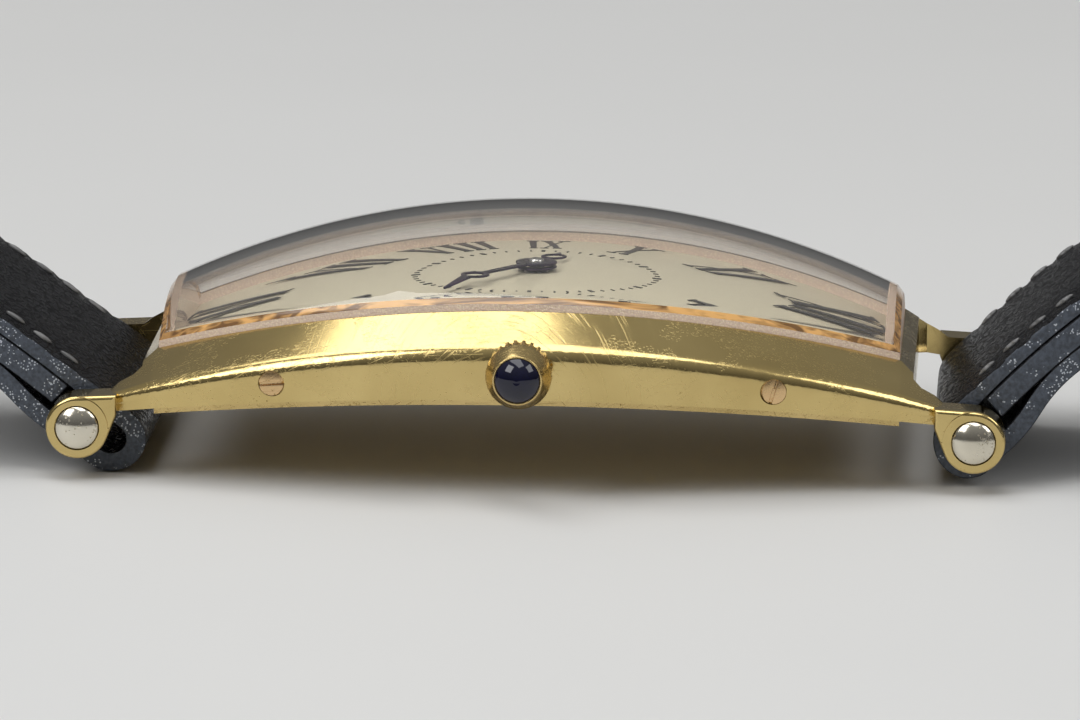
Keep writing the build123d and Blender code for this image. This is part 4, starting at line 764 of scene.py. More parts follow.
@dataclass(frozen=True)
class SilveredDial(Finish):
    """Cream silvered dial with a fine grained surface and painted shade at its ends."""

    # colour of the painted shade at the dial's ends
    edge: Colour = (0.42, 0.36, 0.26)

    def make(self) -> Material:
        """Build the dial's finish, with painted shade darkening it towards its ends.

        Returns:
            The material.
        """
        material, nodes, shader, point = self.start()
        parts = nodes.add("SeparateXYZ", {0: nodes.vector("SUBTRACT", point, CASE_MIDDLE)})
        # painted shade: the colour darkens towards both ends of the dial
        end = nodes.spread(nodes.math("ABSOLUTE", parts.outputs["X"]), 0.010, 0.020)
        cloud = Cloudiness().mask(nodes, Point=point, Scale=200.0)
        fine = nodes.noise(point, 12000.0)
        share = nodes.times(end, nodes.spread(cloud, 0, 1, 0.35, 0.8))
        rough = nodes.spread(fine, 0.3, 0.7, self.roughness - 0.06, self.roughness + 0.08)
        nodes.feed(shader, {"Base Color": nodes.mix(share, self.colour, self.edge), "Roughness": rough})
        self.bump(nodes, shader, fine, 0.004, 0.5)
        return material


@dataclass(frozen=True)
class Clouded(Finish):
    """A smooth finish that drifts from its colour towards another, such as ink, blued steel or a stone."""

    other: Colour = (1.0, 1.0, 1.0)
    scale: float = 900.0
    share: float = 1.0
    extra: float = 0.0
    ior: float = 1.5
    shine: float = 0.5

    def make(self) -> Material:
        """Build the finish with its clouds.

        Returns:
            The material.
        """
        material, nodes, shader, point = self.start()
        shader.inputs["IOR"].default_value = self.ior
        shader.inputs["Specular IOR Level"].default_value = self.shine
        cloud = Cloudiness().mask(nodes, Point=point, Scale=self.scale)
        tone = nodes.mix(nodes.times(cloud, self.share), self.colour, self.other)
        nodes.feed(shader, {"Base Color": tone})
        self.roughen(nodes, shader, cloud, self.extra)
        return material


@dataclass(frozen=True)
class GrainLeather(Finish):
    """Black dressed leather with a fine pebbled grain."""

    worn: Colour = (0.016, 0.017, 0.020)
    scale: float = 2600.0
    relief: float = 0.035
    shine: float = 0.16

    def make(self) -> Material:
        """Build the leather, paler where it is rubbed.

        Returns:
            The material.
        """
        material, nodes, shader, point = self.start()
        shader.inputs["Specular IOR Level"].default_value = self.shine
        grain = LeatherGrain().use(nodes, Point=point, Scale=self.scale)
        cloud = Cloudiness().mask(nodes, Point=point, Scale=350.0)
        rub = nodes.times(cloud, nodes.spread(grain.outputs["Height"], -0.3, 0.3))
        nodes.feed(shader, {"Base Color": nodes.mix(rub, self.colour, self.worn)})
        self.roughen(nodes, shader, grain.outputs["Crease"], 0.3)
        self.bump(nodes, shader, grain.outputs["Height"], self.relief)
        return material


@dataclass(frozen=True)
class CutLeather(Finish):
    """The painted cut edge of leather, with smoother specks that are painted pale as glints of light."""

    glint_tint: Colour = (0.60, 0.64, 0.70)

    def make(self) -> Material:
        """Build the edge with its fibres and its specks of painted glint.

        Returns:
            The material.
        """
        material, nodes, shader, point = self.start()
        fibre = nodes.noise(point, 5000.0, 4.0)
        glint_specks = Pitting().mask(nodes, Point=point, Scale=7000.0, Size=0.3, Amount=0.47)
        base = nodes.mix(nodes.spread(fibre, 0.35, 0.65), self.colour, self.shade(1.9))
        # painted glint: pale specks mixed into the edge's colour
        nodes.feed(shader, {"Base Color": nodes.mix(nodes.times(glint_specks, 0.75), base, self.glint_tint)})
        nodes.feed(shader, {"Roughness": nodes.spread(glint_specks, 0, 1, self.roughness, 0.25)})
        self.bump(nodes, shader, fibre, 0.08)
        return material


@dataclass(frozen=True)
class SewingThread(Finish):
    """Waxed thread, twisted from plies."""

    def make(self) -> Material:
        """Build the thread's twist and its slight soiling.

        Returns:
            The material.
        """
        material, nodes, shader, point = self.start()
        twist = nodes.add("TexWave", {"Vector": point, "Scale": 1100.0, "Distortion": 1.0},
                          bands_direction="DIAGONAL")
        soil = Cloudiness().mask(nodes, Point=point, Scale=1500.0)
        tone = nodes.mix(nodes.times(soil, 0.8), self.colour, self.shade(0.35))
        nodes.feed(shader, {"Base Color": tone})
        self.bump(nodes, shader, twist.outputs["Fac"], 0.04)
        return material


def made(finish: Finish) -> Material:
    """A field that holds a finish's material, made together with its set."""
    return field(default_factory=finish.make)


@dataclass
class FinishSet:
    """All the finishes of the watch, made once."""

    gold: Material = made(
        PolishedGold("polished_gold", (0.66, 0.51, 0.22), 0.12, 1.0, crown_centre=(-1.0, -13.0, 4.5)))
    worn_gold: Material = made(
        PolishedGold("worn_gold", (0.64, 0.48, 0.21), 0.18, 1.0, scratch=0.6, nicks=0.4))
    copper_gold: Material = made(PolishedGold("coppery_gold", (0.80, 0.55, 0.30), 0.18, 1.0, nicks=0.5))
    head_gold: Material = made(
        PolishedGold("pale_gold", (0.74, 0.70, 0.60), 0.12, 1.0, deep=(0.42, 0.36, 0.24), nicks=0.48))
    glass: Material = made(ClearGlass("clear_glass", (1.0, 0.985, 0.95), 0.0))
    ground_glass: Material = made(GroundGlass("ground_glass", (0.95, 0.80, 0.62), 0.5))
    # the bevel's colour is a painted reflection of the gold
    bevel: Material = made(BevelGoldReflection("bevel_painted_gold_reflection", (0.78, 0.42, 0.13), 0.22))
    seal: Material = made(
        Clouded("pale_seal", (0.40, 0.34, 0.26), 0.6, other=(1.0, 0.85, 0.65), scale=4000.0, share=0.5,
                extra=0.1))
    dial: Material = made(SilveredDial("silvered_dial", (0.50, 0.46, 0.35), 0.42, 0.25))
    ink: Material = made(
        Clouded("black_ink", (0.012, 0.011, 0.012), 0.4, other=(0.03, 0.0275, 0.03), scale=4000.0, share=0.5,
                extra=0.1))
    blued: Material = made(
        Clouded("dark_blued_steel", (0.012, 0.016, 0.045), 0.24, 0.85, other=(0.05, 0.025, 0.06), extra=0.12))
    sapphire: Material = made(
        Clouded("blue_stone", (0.0015, 0.002, 0.014), 0.04, other=(0.003, 0.003, 0.022), scale=1300.0,
                ior=1.76, shine=0.3))
    ruby: Material = made(
        Clouded("red_stone", (0.35, 0.01, 0.05), 0.08, other=(0.5, 0.03, 0.12), scale=1300.0, ior=1.76,
                shine=0.3))
    gilt: Material = made(WorkedMetal("gilt_plate", (0.78, 0.62, 0.32), 0.3, 1.0))
    brass: Material = made(WorkedMetal("polished_brass", (0.80, 0.60, 0.28), 0.22, 1.0, grain=6000.0))
    steel: Material = made(WorkedMetal("polished_steel", (0.60, 0.60, 0.61), 0.2, 1.0, grain=6000.0))
    spring_steel: Material = made(WorkedMetal("spring_steel", (0.32, 0.34, 0.38), 0.28, 1.0, grain=8000.0))
    leather: Material = made(GrainLeather("black_leather", (0.0035, 0.0035, 0.0045), 0.27))
    lining: Material = made(
        GrainLeather("lining_leather", (0.014, 0.015, 0.018), 0.5, worn=(0.04, 0.042, 0.048), scale=1700.0,
                     relief=0.03))
    cut_edge: Material = made(CutLeather("cut_leather", (0.035, 0.042, 0.055), 0.5))
    thread: Material = made(SewingThread("pale_thread", (0.22, 0.22, 0.22), 0.42))


# Sub-assemblies


@dataclass
class Piece:
    """What each sub-assembly shares: the finishes and a log of what it made."""

    finishes: FinishSet

    def done(self, piece: Object, body: str, slot: str, *nodes: str) -> None:
        """Let a piece ride on its body and take over its CAD nodes.

        Args:
            piece: The finished piece.
            body: The body that it moves with.
            slot: Name of a material slot; not used.
            *nodes: The CAD nodes that it stands for.
        """
        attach(piece, body)
        if nodes:
            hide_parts(*nodes)
        LOG.info("%s: %d faces on %s", piece.name, len(piece.data.polygons), body)

    def rounded(self, node: str, name: str, place_of: tuple[str, str], material: Material,
                *rounding: float) -> None:
        """Copy a CAD node, round its edges, dress it and let it stand for the node.

        Args:
            node: The CAD node.
            name: The new piece's name.
            place_of: The body that it moves with and its material slot.
            material: Its material.
            *rounding: Width, segments and least angle of the rounding.
        """
        piece = Bench.copy_node(node, name)
        Bench.soften(piece, *rounding)
        Bench.dress(piece, material)
        self.done(piece, *place_of, node)

    def coat(self, material: Material, *nodes: str) -> None:
        """Give CAD nodes a better material.

        Args:
            material: The material.
            *nodes: The nodes' names.
        """
        for node in nodes:
            Bench.dress(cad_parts[node], material)
            LOG.info("%s: %s", node, material.name)


@dataclass
class CaseAssembly(Piece):
    """The two-part gold case, its screws and its lug bars."""

    head_round: float = 0.08
    screw_round: float = 0.06

    def build(self) -> None:
        """Dress the case and round what catches the light."""
        self.coat(self.finishes.gold, "case_front")
        self.coat(self.finishes.worn_gold, "case_back")
        self.coat(self.finishes.steel, "lug_bars")
        self.coat(self.finishes.brass, "crown_tube", "movement_ring")
        self.rounded("lug_bar_heads", "bar_heads", ("root", "gold"), self.finishes.head_gold, self.head_round)
        self.rounded("case_screws", "side_screws", ("root", "gold_screws"), self.finishes.copper_gold,
                     self.screw_round)


@dataclass
class CrystalAssembly(Piece):
    """The domed crystal with its ground side and bevel, and the seal under it."""

    half_length: float = 18.2
    half_width: float = 10.6
    plan_radius: float = 40.7
    top: float = 12.29
    top_radius: float = 42.5
    foot: float = 8.75
    edge: float = 9.07
    edge_radius: float = 56.7
    side: float = 0.35
    bevel: float = 0.3
    bevel_rise: float = 0.27
    thickness: float = 0.5
    rim: float = 0.85
    columns: int = 88
    rows: int = 52

    def half_at(self, x: float) -> float:
        """Half the width of the glass at a place along it."""
        return self.half_width - arc_drop(self.plan_radius, x)

    @staticmethod
    def share(index: int, count: int, folds: int) -> float:
        """Where a row or column lies, from -1 to 1, when the outermost folds stand at the same place."""
        return held(2 * (index - folds) / (count - 2 * folds) - 1, -1.0)

    def shoulder(self, x: float, y: float) -> float:
        """Height of the outer dome.

        Args:
            x: Place along the glass.
            y: Place across it, as a share of the dome's half width.

        Returns:
            The height.
        """
        low = self.edge - arc_drop(self.edge_radius, x) + self.side + self.bevel_rise
        rise = self.top - arc_drop(self.top_radius, x) - low
        half = self.half_at(x) - self.bevel
        radius = (half ** 2 + rise ** 2) / (2 * rise)
        return low + rise - arc_drop(radius, half * y)

    def outer(self, column: int, row: int) -> Vector:
        """A point of the outside of the glass.

        Args:
            column: Its column of the grid, the outermost two of which are folded down.
            row: Its row, the outermost two of which are folded down.

        Returns:
            The point.
        """
        level = min(column, row, self.columns - column, self.rows - row)
        long = self.half_length - self.bevel
        share = self.share(column, self.columns, 2)
        x = long * share if 2 <= column <= self.columns - 2 else math.copysign(self.half_length, share)
        half = self.half_at(x)
        across = self.share(row, self.rows, 2)
        y = (half - self.bevel) * across if 2 <= row <= self.rows - 2 else math.copysign(half, across)
        fall = arc_drop(self.edge_radius, x)
        if level == 0:
            return place(x, y, self.foot - fall)
        if level == 1 and 2 <= column <= self.columns - 2:
            return place(x, y, self.edge - fall + self.side)
        if level == 1:
            low = self.edge - fall + self.side
            return place(x, y, max(low, self.shoulder(x, across) - self.bevel_rise))
        return place(x, y, self.shoulder(x, across))

    def inner(self, column: int, row: int) -> Vector:
        """A point of the hollow under the glass.

        Args:
            column: Its column of the grid, the outermost of which is folded down.
            row: Its row, the outermost of which is folded down.

        Returns:
            The point.
        """
        x = (self.half_length - self.rim) * self.share(column, self.columns, 1)
        half = self.half_width - self.rim - arc_drop(self.plan_radius, x)
        y = half * self.share(row, self.rows, 1)
        if min(column, row, self.columns - column, self.rows - row) == 0:
            return place(x, y, self.foot - arc_drop(self.edge_radius, x))
        outer_half = self.half_at(x) - self.bevel
        return place(x, y, self.shoulder(x, y / outer_half) - self.thickness)

    def shell(self, name: str, rule: Callable[[int, int], Vector]) -> Object:
        """A grid laid over one side of the glass.

        Args:
            name: Name of the piece.
            rule: Gives the place of each column and row.

        Returns:
            The shell, open at its foot.
        """
        bpy.ops.mesh.primitive_grid_add(x_subdivisions=self.columns, y_subdivisions=self.rows, size=2)
        shell = Bench.named(name)
        for vertex in shell.data.vertices:
            column = round((vertex.co.x + 1) / 2 * self.columns)
            row = round((vertex.co.y + 1) / 2 * self.rows)
            vertex.co = rule(column, row)
        return shell

    def finish_of(self, face: bpy.types.MeshPolygon) -> int:
        """Which material a face of the glass takes.

        Args:
            face: The face.

        Returns:
            Nought for clear glass, one for the ground side, two for the bevel with its painted reflection of
            the gold.
        """
        spot = (face.center - CASE_MIDDLE) / MM
        side = abs(spot.y) - self.half_at(min(abs(spot.x), self.half_length))
        end = abs(spot.x) - self.half_length
        if max(side, end) > -0.01:
            return 1
        return 2 if max(side, end) > -self.bevel + 0.02 else 0

    def build(self) -> None:
        """Shape the glass, close it at its foot and dress it and its seal."""
        shells = [self.shell("outside", self.outer), self.shell("inside", self.inner)]
        glass = Bench.join(shells, "domed_crystal")
        mesh = Bench.edit(glass)
        bpy.ops.mesh.select_mode(type="EDGE")
        for edge in mesh.edges:
            edge.select_set(edge.is_boundary)
        bmesh.update_edit_mesh(glass.data)
        bpy.ops.mesh.bridge_edge_loops()
        Bench.leave()
        Bench.outward(glass)
        Bench.smooth(glass, 22)
        Bench.dress(glass, self.finishes.glass, self.finishes.ground_glass, self.finishes.bevel)
        for face in glass.data.polygons:
            face.material_index = self.finish_of(face)
        self.done(glass, "root", "crystal_glass", "crystal")
        self.coat(self.finishes.seal, "crystal_gasket")


@dataclass
class DialAssembly(Piece):
    """The dial with its printed numerals and minute track."""

    edge_round: float = 0.08
    curve: float = 56.0
    top: float = 7.92 + DIAL_LIFT
    lift: float = 0.004
    plate_middle: float = 7.75
    plate_share: tuple[float, float] = (0.979, 0.964)
    film: float = 0.02
    unit: float = 3.9
    thick: float = 0.30
    thin: float = 0.085
    serif: float = 0.035
    serif_half: float = 0.475
    track: tuple[float, float] = (5.86, 6.12)
    long_track: tuple[float, float] = (5.74, 6.2)
    dash: float = 0.09
    long_dash: float = 0.2
    band: tuple[Triple, ...] = ((0, 12.85, 17.25), (11, 11.9, 16.8), (30, 9.1, 12.9), (60, 7.4, 10.4),
                                (90, 6.9, 9.3))
    words: tuple[str, ...] = ("XII", "I", "II", "III", "IV", "V", "VI", "VII", "VIII", "IX", "X", "XI")
    letter_widths: dict[str, float] = field(default_factory=lambda: {"I": 1.0, "V": 2.0, "X": 2.0})
    gap: float = 0.3

    def reach(self, bearing: float, share: float) -> float:
        """How far from the middle a point of the numeral band lies.

        Args:
            bearing: Degrees clockwise from 12 o'clock.
            share: Nought at the band's inner edge, one at its outer.

        Returns:
            The distance.
        """
        turned = abs((bearing + 180) % 360 - 180)
        turned = min(turned, 180 - turned)
        for (low, inner, outer), (high, next_inner, next_outer) in zip(self.band, self.band[1:]):
            if turned <= high:
                step = (turned - low) / (high - low)
                step = step * step * (3 - 2 * step)
                inner += (next_inner - inner) * step
                outer += (next_outer - outer) * step
                return inner + (outer - inner) * share
        return inner

    def on_dial(self, bearing: float, distance: float) -> Vector:
        """A point just above the dial.

        Args:
            bearing: Degrees clockwise from 12 o'clock.
            distance: Distance from the middle.

        Returns:
            The point in metres.
        """
        angle = math.radians(bearing)
        x = distance * math.cos(angle)
        return place(x, -distance * math.sin(angle), self.top - arc_drop(self.curve, x) + self.lift)

    def stroke(self, across: int, along: int, rule: Rule) -> Object:
        """One printed stroke, laid on the dial by a rule.

        Args:
            across: Faces across the stroke.
            along: Faces along it.
            rule: Gives the place of a point from its shares across and along.

        Returns:
            The stroke.
        """
        bpy.ops.mesh.primitive_grid_add(x_subdivisions=across, y_subdivisions=along, size=1)
        piece = Bench.named("stroke")
        for vertex in piece.data.vertices:
            vertex.co = rule(vertex.co.x, vertex.co.y + 0.5)
        return piece

    def letter(self, letter: str, start: float) -> list[Object]:
        """The strokes of one letter.

        Args:
            letter: I, V or X.
            start: Bearing of its left side.

        Returns:
            The strokes.
        """
        shapes = {"I": ((0.5, 0.5, self.thick),),
                  "V": ((1.02, 0.35, self.thick), (1.08, 1.72, self.thin)),
                  "X": ((1.7, 0.34, self.thick), (0.32, 1.72, self.thin))}
        feet = {"I": ((0.5, 0.0), (0.5, 1.0)),
                "V": ((0.35, 1.0), (1.72, 1.0)),
                "X": ((0.34, 1.0), (1.72, 1.0), (1.7, 0.0), (0.32, 0.0))}

        def mark(inner: float, outer: float, half: float, level: float,
                 length: float) -> Rule:
            """The rule of a stroke or a serif between two places in the letter.

            Args:
                inner: Its place at its inner end.
                outer: Its place at its outer end.
                half: Half its width.
                level: Share of the band at its middle.
                length: Its length as a share of the band.

            Returns:
                The rule.
            """
            def rule(side: float, share: float) -> Vector:
                """Place of a point of the mark.

                Args:
                    side: Place across it, from -0.5 to 0.5.
                    share: Place along it, from nought to one.

                Returns:
                    The point in metres.
                """
                across = inner + (outer - inner) * share + side * 2 * half
                bearing = start + across * self.unit
                return self.on_dial(bearing, self.reach(bearing, level + (share - 0.5) * length))
            return rule

        strokes = [self.stroke(2, 8, mark(*shape, 0.5, 1.0)) for shape in shapes[letter]]
        return strokes + [self.stroke(4, 1, mark(spot, spot, self.serif_half, end, self.serif))
                          for spot, end in feet[letter]]

    def numerals(self) -> list[Object]:
        """The strokes of the twelve hours.

        Returns:
            The strokes.
        """
        strokes = []
        for hour, word in enumerate(self.words):
            width = sum(self.letter_widths[letter] for letter in word) + self.gap * (len(word) - 1)
            start = hour * 30 - width * self.unit / 2
            for letter in word:
                strokes += self.letter(letter, start)
                start += (self.letter_widths[letter] + self.gap) * self.unit
        return strokes

    def minutes(self) -> list[Object]:
        """The dashes of the minute track.

        Returns:
            The dashes.
        """
        strokes = []
        for minute in range(60):
            bold = minute % 5 == 0
            low, high = self.long_track if bold else self.track
            width = self.long_dash if bold else self.dash
            turn = math.degrees(width / high)

            def rule(side: float, share: float, low: float = low, high: float = high, turn: float = turn,
                     bearing: float = minute * 6) -> Vector:
                """Place of a point of the dash."""
                return self.on_dial(bearing + side * turn, low + (high - low) * share)
            strokes.append(self.stroke(1, 1, rule))
        return strokes

    def plate(self) -> Object:
        """The dial plate, crowned up to just under the glass.

        Returns:
            The plate.
        """
        plate = Bench.copy_node("dial", "curved_dial")
        for vertex in plate.data.vertices:
            away = (vertex.co - CASE_MIDDLE) / MM
            if away.z > self.plate_middle - arc_drop(self.curve, away.x):
                vertex.co.z += DIAL_LIFT * MM
            vertex.co.x = CASE_MIDDLE.x + away.x * self.plate_share[0] * MM
            vertex.co.y = CASE_MIDDLE.y + away.y * self.plate_share[1] * MM
        return plate

    def build(self) -> None:
        """Raise the dial and print it."""
        plate = self.plate()
        Bench.soften(plate, self.edge_round)
        Bench.dress(plate, self.finishes.dial)
        self.done(plate, "root", "dial_cream", "dial")
        print_work = Bench.join(self.numerals() + self.minutes(), "dial_print")
        Bench.modify(print_work, "SOLIDIFY", thickness=self.film * MM, offset=1.0)
        Bench.outward(print_work)
        Bench.dress(print_work, self.finishes.ink)
        self.done(print_work, "root", "hand_dark")


@dataclass
class HandSet(Piece):
    """The blued hands and the posts they sit on."""

    edge_round: float = 0.045
    tip_start: float = 4.2
    tip_droop: float = 0.16
    boss: float = 1.1
    stretch: float = 0.33
    turn: float = 13.0
    post_radius: float = 0.4
    post_foot: float = 8.0
    post_round: float = 0.35
    post_top: float = 9.62
    pipe_radius: float = 0.62
    pipe_top: float = 9.14

    def build(self) -> None:
        """Round the hands and droop the minute hand's tip."""

        def droop(point: Vector) -> Vector:
            """Draw the hand out beyond its boss, turn it to its minute and lower its tip.

            Args:
                point: A point of the hand.

            Returns:
                Where it goes.
            """
            away = Vector((point.x - CASE_MIDDLE.x, point.y - CASE_MIDDLE.y, 0)) / MM
            distance = away.length
            away *= 1 + max(0.0, distance - self.boss) * self.stretch / distance
            away.rotate(Matrix.Rotation(math.radians(self.turn), 3, "Z"))
            fall = max(0.0, distance - self.tip_start) ** 2 * self.tip_droop
            return CASE_MIDDLE + away * MM + Vector((0, 0, point.z - fall * MM))

        for node, body in (("minute_hand", "minute_hand_body"), ("hour_hand", "hour_hand_body")):
            hand = Bench.copy_node(node, "blued_" + node)
            Bench.soften(hand, self.edge_round)
            hand.data.transform(Matrix.Translation((0, 0, DIAL_LIFT * MM)))
            if node == "minute_hand":
                for vertex in hand.data.vertices:
                    vertex.co = droop(vertex.co)
            Bench.dress(hand, self.finishes.blued)
            self.done(hand, body, "hand_dark", node)
        self.post("centre_post", "minute_hand_body", self.post_radius, self.post_top)
        self.post("hour_pipe", "hour_hand_body", self.pipe_radius, self.pipe_top)
        self.coat(self.finishes.brass, "cannon_pinion", "hour_wheel")

    def post(self, name: str, body: str, radius: float, top: float) -> None:
        """A round post that carries a hand above the dial.

        Args:
            name: The post's name.
            body: The body that it turns with.
            radius: Its radius.
            top: Height of its top.
        """
        depth = top - self.post_foot
        bpy.ops.mesh.primitive_cylinder_add(vertices=40, radius=radius * MM, depth=depth * MM,
                                            location=place(0, 0, top - depth / 2))
        post = Bench.named(name)
        Bench.fix_place(post)
        Bench.soften(post, radius * self.post_round, 3)
        Bench.dress(post, self.finishes.steel)
        self.done(post, body, "steel_works")


@dataclass
class CrownAssembly(Piece):
    """The fluted crown with its stone."""

    rounding: tuple[float, int, float] = (0.05, 2, 28)
    stone_radius: float = 1.12
    height: float = 6.6
    face: float = -15.25
    ring_width: float = 0.07
    ring_gap: float = 0.03
    ring_out: float = 0.02
    ring_depth: float = 1.3

    def rim(self) -> Object:
        """The thin bright rim that holds the stone.

        Returns:
            The rim.
        """
        centre = place(0, self.face + self.ring_out, self.height)
        reach = self.stone_radius + self.ring_gap
        bpy.ops.mesh.primitive_torus_add(location=centre, rotation=(math.pi / 2, 0, 0), major_segments=64,
                                         minor_segments=10, major_radius=reach * MM,
                                         minor_radius=self.ring_width * MM)
        rim = Bench.named("stone_rim")
        Bench.fix_place(rim)
        Bench.edit(rim)
        Bench.take_all()
        bpy.ops.transform.resize(value=(1, self.ring_depth, 1), center_override=centre)
        Bench.leave()
        Bench.smooth(rim, 60)
        return rim

    def build(self) -> None:
        """Round the crown, set its rim and polish the stone."""
        self.rounded("crown", "fluted_crown", ("crown_body", "gold"), self.finishes.worn_gold, *self.rounding)
        rim = self.rim()
        Bench.dress(rim, self.finishes.worn_gold)
        self.done(rim, "crown_body", "gold")
        self.coat(self.finishes.sapphire, "crown_cabochon")
        self.coat(self.finishes.steel, "winding_stem")


# Strap


@dataclass
class Path:
    """A strip's line seen from the side, walked arc by arc."""

    x: float
    z: float
    heading: float

    def arc(self, length: float, turn: float, steps: int) -> None:
        """Carry the ring that is selected in edit mode along one tangent arc.

        Args:
            length: Length of the arc.
            turn: How far it turns, in degrees, upwards where positive.
            steps: Rings along it.
        """
        angle = math.radians(turn)
        heading = math.radians(self.heading)
        radius = length / angle
        centre = (self.x - radius * math.sin(heading), self.z + radius * math.cos(heading))
        bpy.ops.mesh.spin(steps=steps, angle=angle, center=place(centre[0], 0, centre[1]), axis=(0, 1, 0))
        self.heading += turn
        heading = math.radians(self.heading)
        self.x = centre[0] + radius * math.sin(heading)
        self.z = centre[1] - radius * math.cos(heading)


@dataclass
class StrapHalf(Piece):
    """One strap half: looped leather, its lining, its stitches and its cut edges."""

    side: Side = Side.TWELVE
    length: float = 68.0
    radius: float = 42.498
    loop: float = 2.5
    sewn: float = 12.6
    under: float = 2.4
    curl: float = 0.1
    sag: float = 0.75
    sink: float = -0.09
    sag_end: float = 34.0
    bar_x: float = 21.9
    bar_z: float = 2.7
    rise: float = 44.0
    leather: float = 0.92
    lining: float = 1.21
    half: float = 1.1
    width: float = 15.0
    tip_width: float = 12.6
    taper: float = 34.0
    crown: float = 0.24
    pitch: float = 1.65
    inset: float = 1.15
    pucker: float = 0.09
    cuts: int = 22
    tip_reach: float = 99.23
    gap: float = 0.02
    lead: float = 6.0
    swerve: float = 2.5
    edge_round: float = 0.13
    sag_start: float = 9.0
    lining_start: float = 1.6
    lining_step: float = 0.8
    lining_short: float = 2.45
    buckle_short: float = 4.5
    buckle_arcs: tuple[tuple[float, float, int], ...] = ((2.25, 13.6, 4), (2.25, -19.7, 4),
                                                         (math.radians(196) * 1.275, -196.0, 22),
                                                         (1.6, 4.0, 3))
    hole_count: int = 6
    hole_start: float = 26.0
    hole_pitch: float = 6.5
    hole_radius: float = 0.75
    slot_size: Triple = (5.2, 1.9, 7.0)
    stitch_radius: float = 0.5
    stitch_shape: Triple = (1.12, 0.34, 0.26)
    stitch_slant: float = 7.0
    stitch_margin: float = 1.2
    stitch_sink: float = 0.42
    stitch_least: float = 3.0
    tip_margin: float = 3.2
    buckle_margin: float = 7.0
    pucker_from: float = 0.36
    pucker_skin: float = 0.5
    pucker_reach: float = 1.25
    crown_skin: float = 0.3
    crown_start: float = 1.0
    crown_run: float = 4.0
    edge_angle: float = 50.0
    edge_slope: float = 0.75

    @property
    def name(self) -> str:
        """The body's name."""
        return "strap_12" if self.side is Side.TWELVE else "strap_6"

    def centre(self) -> tuple[float, float]:
        """Centre of the arch, seen from the side.

        Returns:
            Its X and Z in millimetres.
        """
        turn = math.radians(self.rise)
        middle = self.loop - self.half
        return (self.bar_x + (self.radius - middle) * math.sin(turn),
                self.bar_z - (self.radius - middle) * math.cos(turn))

    def where(self, point: Vector) -> tuple[float, float]:
        """Length along the arch and offset from its middle line.

        Args:
            point: A point of the half before it is turned to its side.

        Returns:
            The length and the offset.
        """
        x, z = self.centre()
        away = (point - place(x, 0, z)) / MM
        heading = math.atan2(-away.x, away.z)
        return (math.radians(self.rise) - heading) * self.radius, math.hypot(away.x, away.z) - self.radius

    def at(self, distance: float, offset: float, y: float) -> Matrix:
        """Place and turn of something that lies along the arch.

        Args:
            distance: Length along the arch.
            offset: Offset outwards from its middle line.
            y: Place across the width.

        Returns:
            The matrix, whose X runs along the strap and whose Z points outwards.
        """
        x, z = self.centre()
        heading = math.radians(self.rise) - distance / self.radius
        reach = self.radius + offset
        spot = place(x - reach * math.sin(heading), y, z + reach * math.cos(heading))
        return Matrix.Translation(spot) @ Matrix.Rotation(-heading, 4, "Y")

    def width_at(self, x: float) -> float:
        """Width of the strap at a distance from the case's middle.

        Args:
            x: The distance.

        Returns:
            The width.
        """
        share = held((x - self.bar_x) / self.taper)
        width = self.width + (self.tip_width - self.width) * share
        if self.side is Side.SIX:
            tip = self.bar_x + self.tip_reach
            left = min(max(tip - x, 0.02), self.tip_width / 2)
            width *= math.sqrt(1 - (1 - left / (self.tip_width / 2)) ** 2)
        return width

    def ring(self, name: str, x: float, z: float, heading: float, thickness: float) -> Object:
        """The strip's cross-section, ready to be carried along, left in edit mode.

        Args:
            name: Name of the piece.
            x: Place of its middle.
            z: Height of its middle.
            heading: Slope of the strip there, in degrees.
            thickness: Thickness of the strip.

        Returns:
            The piece.
        """
        turn = math.radians(heading)
        bpy.ops.mesh.primitive_plane_add(size=1, location=place(x, 0, z), rotation=(0, math.pi / 2 - turn, 0))
        piece = Bench.named(name)
        piece.scale = (thickness * MM, self.width * MM, 1)
        Bench.fix_place(piece)
        mesh = Bench.edit(piece)
        Bench.take_all()
        bpy.ops.mesh.delete(type="ONLY_FACE")
        bpy.ops.mesh.select_mode(type="EDGE")
        for edge in mesh.edges:
            edge.select_set(abs(edge.verts[0].co.y - edge.verts[1].co.y) > self.width * MM / 2)
        bmesh.update_edit_mesh(piece.data)
        bpy.ops.mesh.subdivide(number_cuts=self.cuts)
        Bench.take_all()
        return piece

    def finish_strip(self, piece: Object, stitched: bool) -> None:
        """Taper a strip, pull it in at its stitches, close it and round its edges.

        Args:
            piece: The strip.
            stitched: Whether its outer face is pulled in at the stitches.
        """
        Bench.outward(piece)
        for vertex in piece.data.vertices:
            x = (vertex.co.x - CASE_MIDDLE.x) / MM
            narrow = self.width_at(x) / self.width
            vertex.co.y = CASE_MIDDLE.y + (vertex.co.y - CASE_MIDDLE.y) * narrow
        mesh = Bench.edit(piece)
        if stitched:
            self.pull_in(piece, mesh)
        Bench.leave()
        Bench.modify(piece, "BEVEL", width=self.edge_round * MM, segments=3, limit_method="ANGLE",
                     angle_limit=math.radians(self.edge_angle), use_clamp_overlap=True)
        Bench.smooth(piece, 60)

    def pull_in(self, piece: Object, mesh: bmesh.types.BMesh) -> None:
        """Sink the outer face where each stitch goes through it.

        Args:
            piece: The strip in edit mode.
            mesh: Its edit mesh.
        """

        def at_stitch(point: Vector) -> bool:
            """Whether a point lies at a stitch hole of the outer face.

            Args:
                point: The point.

            Returns:
                Whether it does.
            """
            along, offset = self.where(point)
            x = (point.x - CASE_MIDDLE.x) / MM
            edge = self.width_at(x) / 2 - abs(point.y - CASE_MIDDLE.y) / MM
            near = abs((along / self.pitch) % 1 - 0.5) > self.pucker_from
            return (near and offset > self.half - self.pucker_skin and along > 0.5
                    and -0.1 < edge < self.inset * self.pucker_reach)

        if Bench.pick(piece, mesh, at_stitch):
            bpy.ops.transform.shrink_fatten(value=-self.pucker * MM)

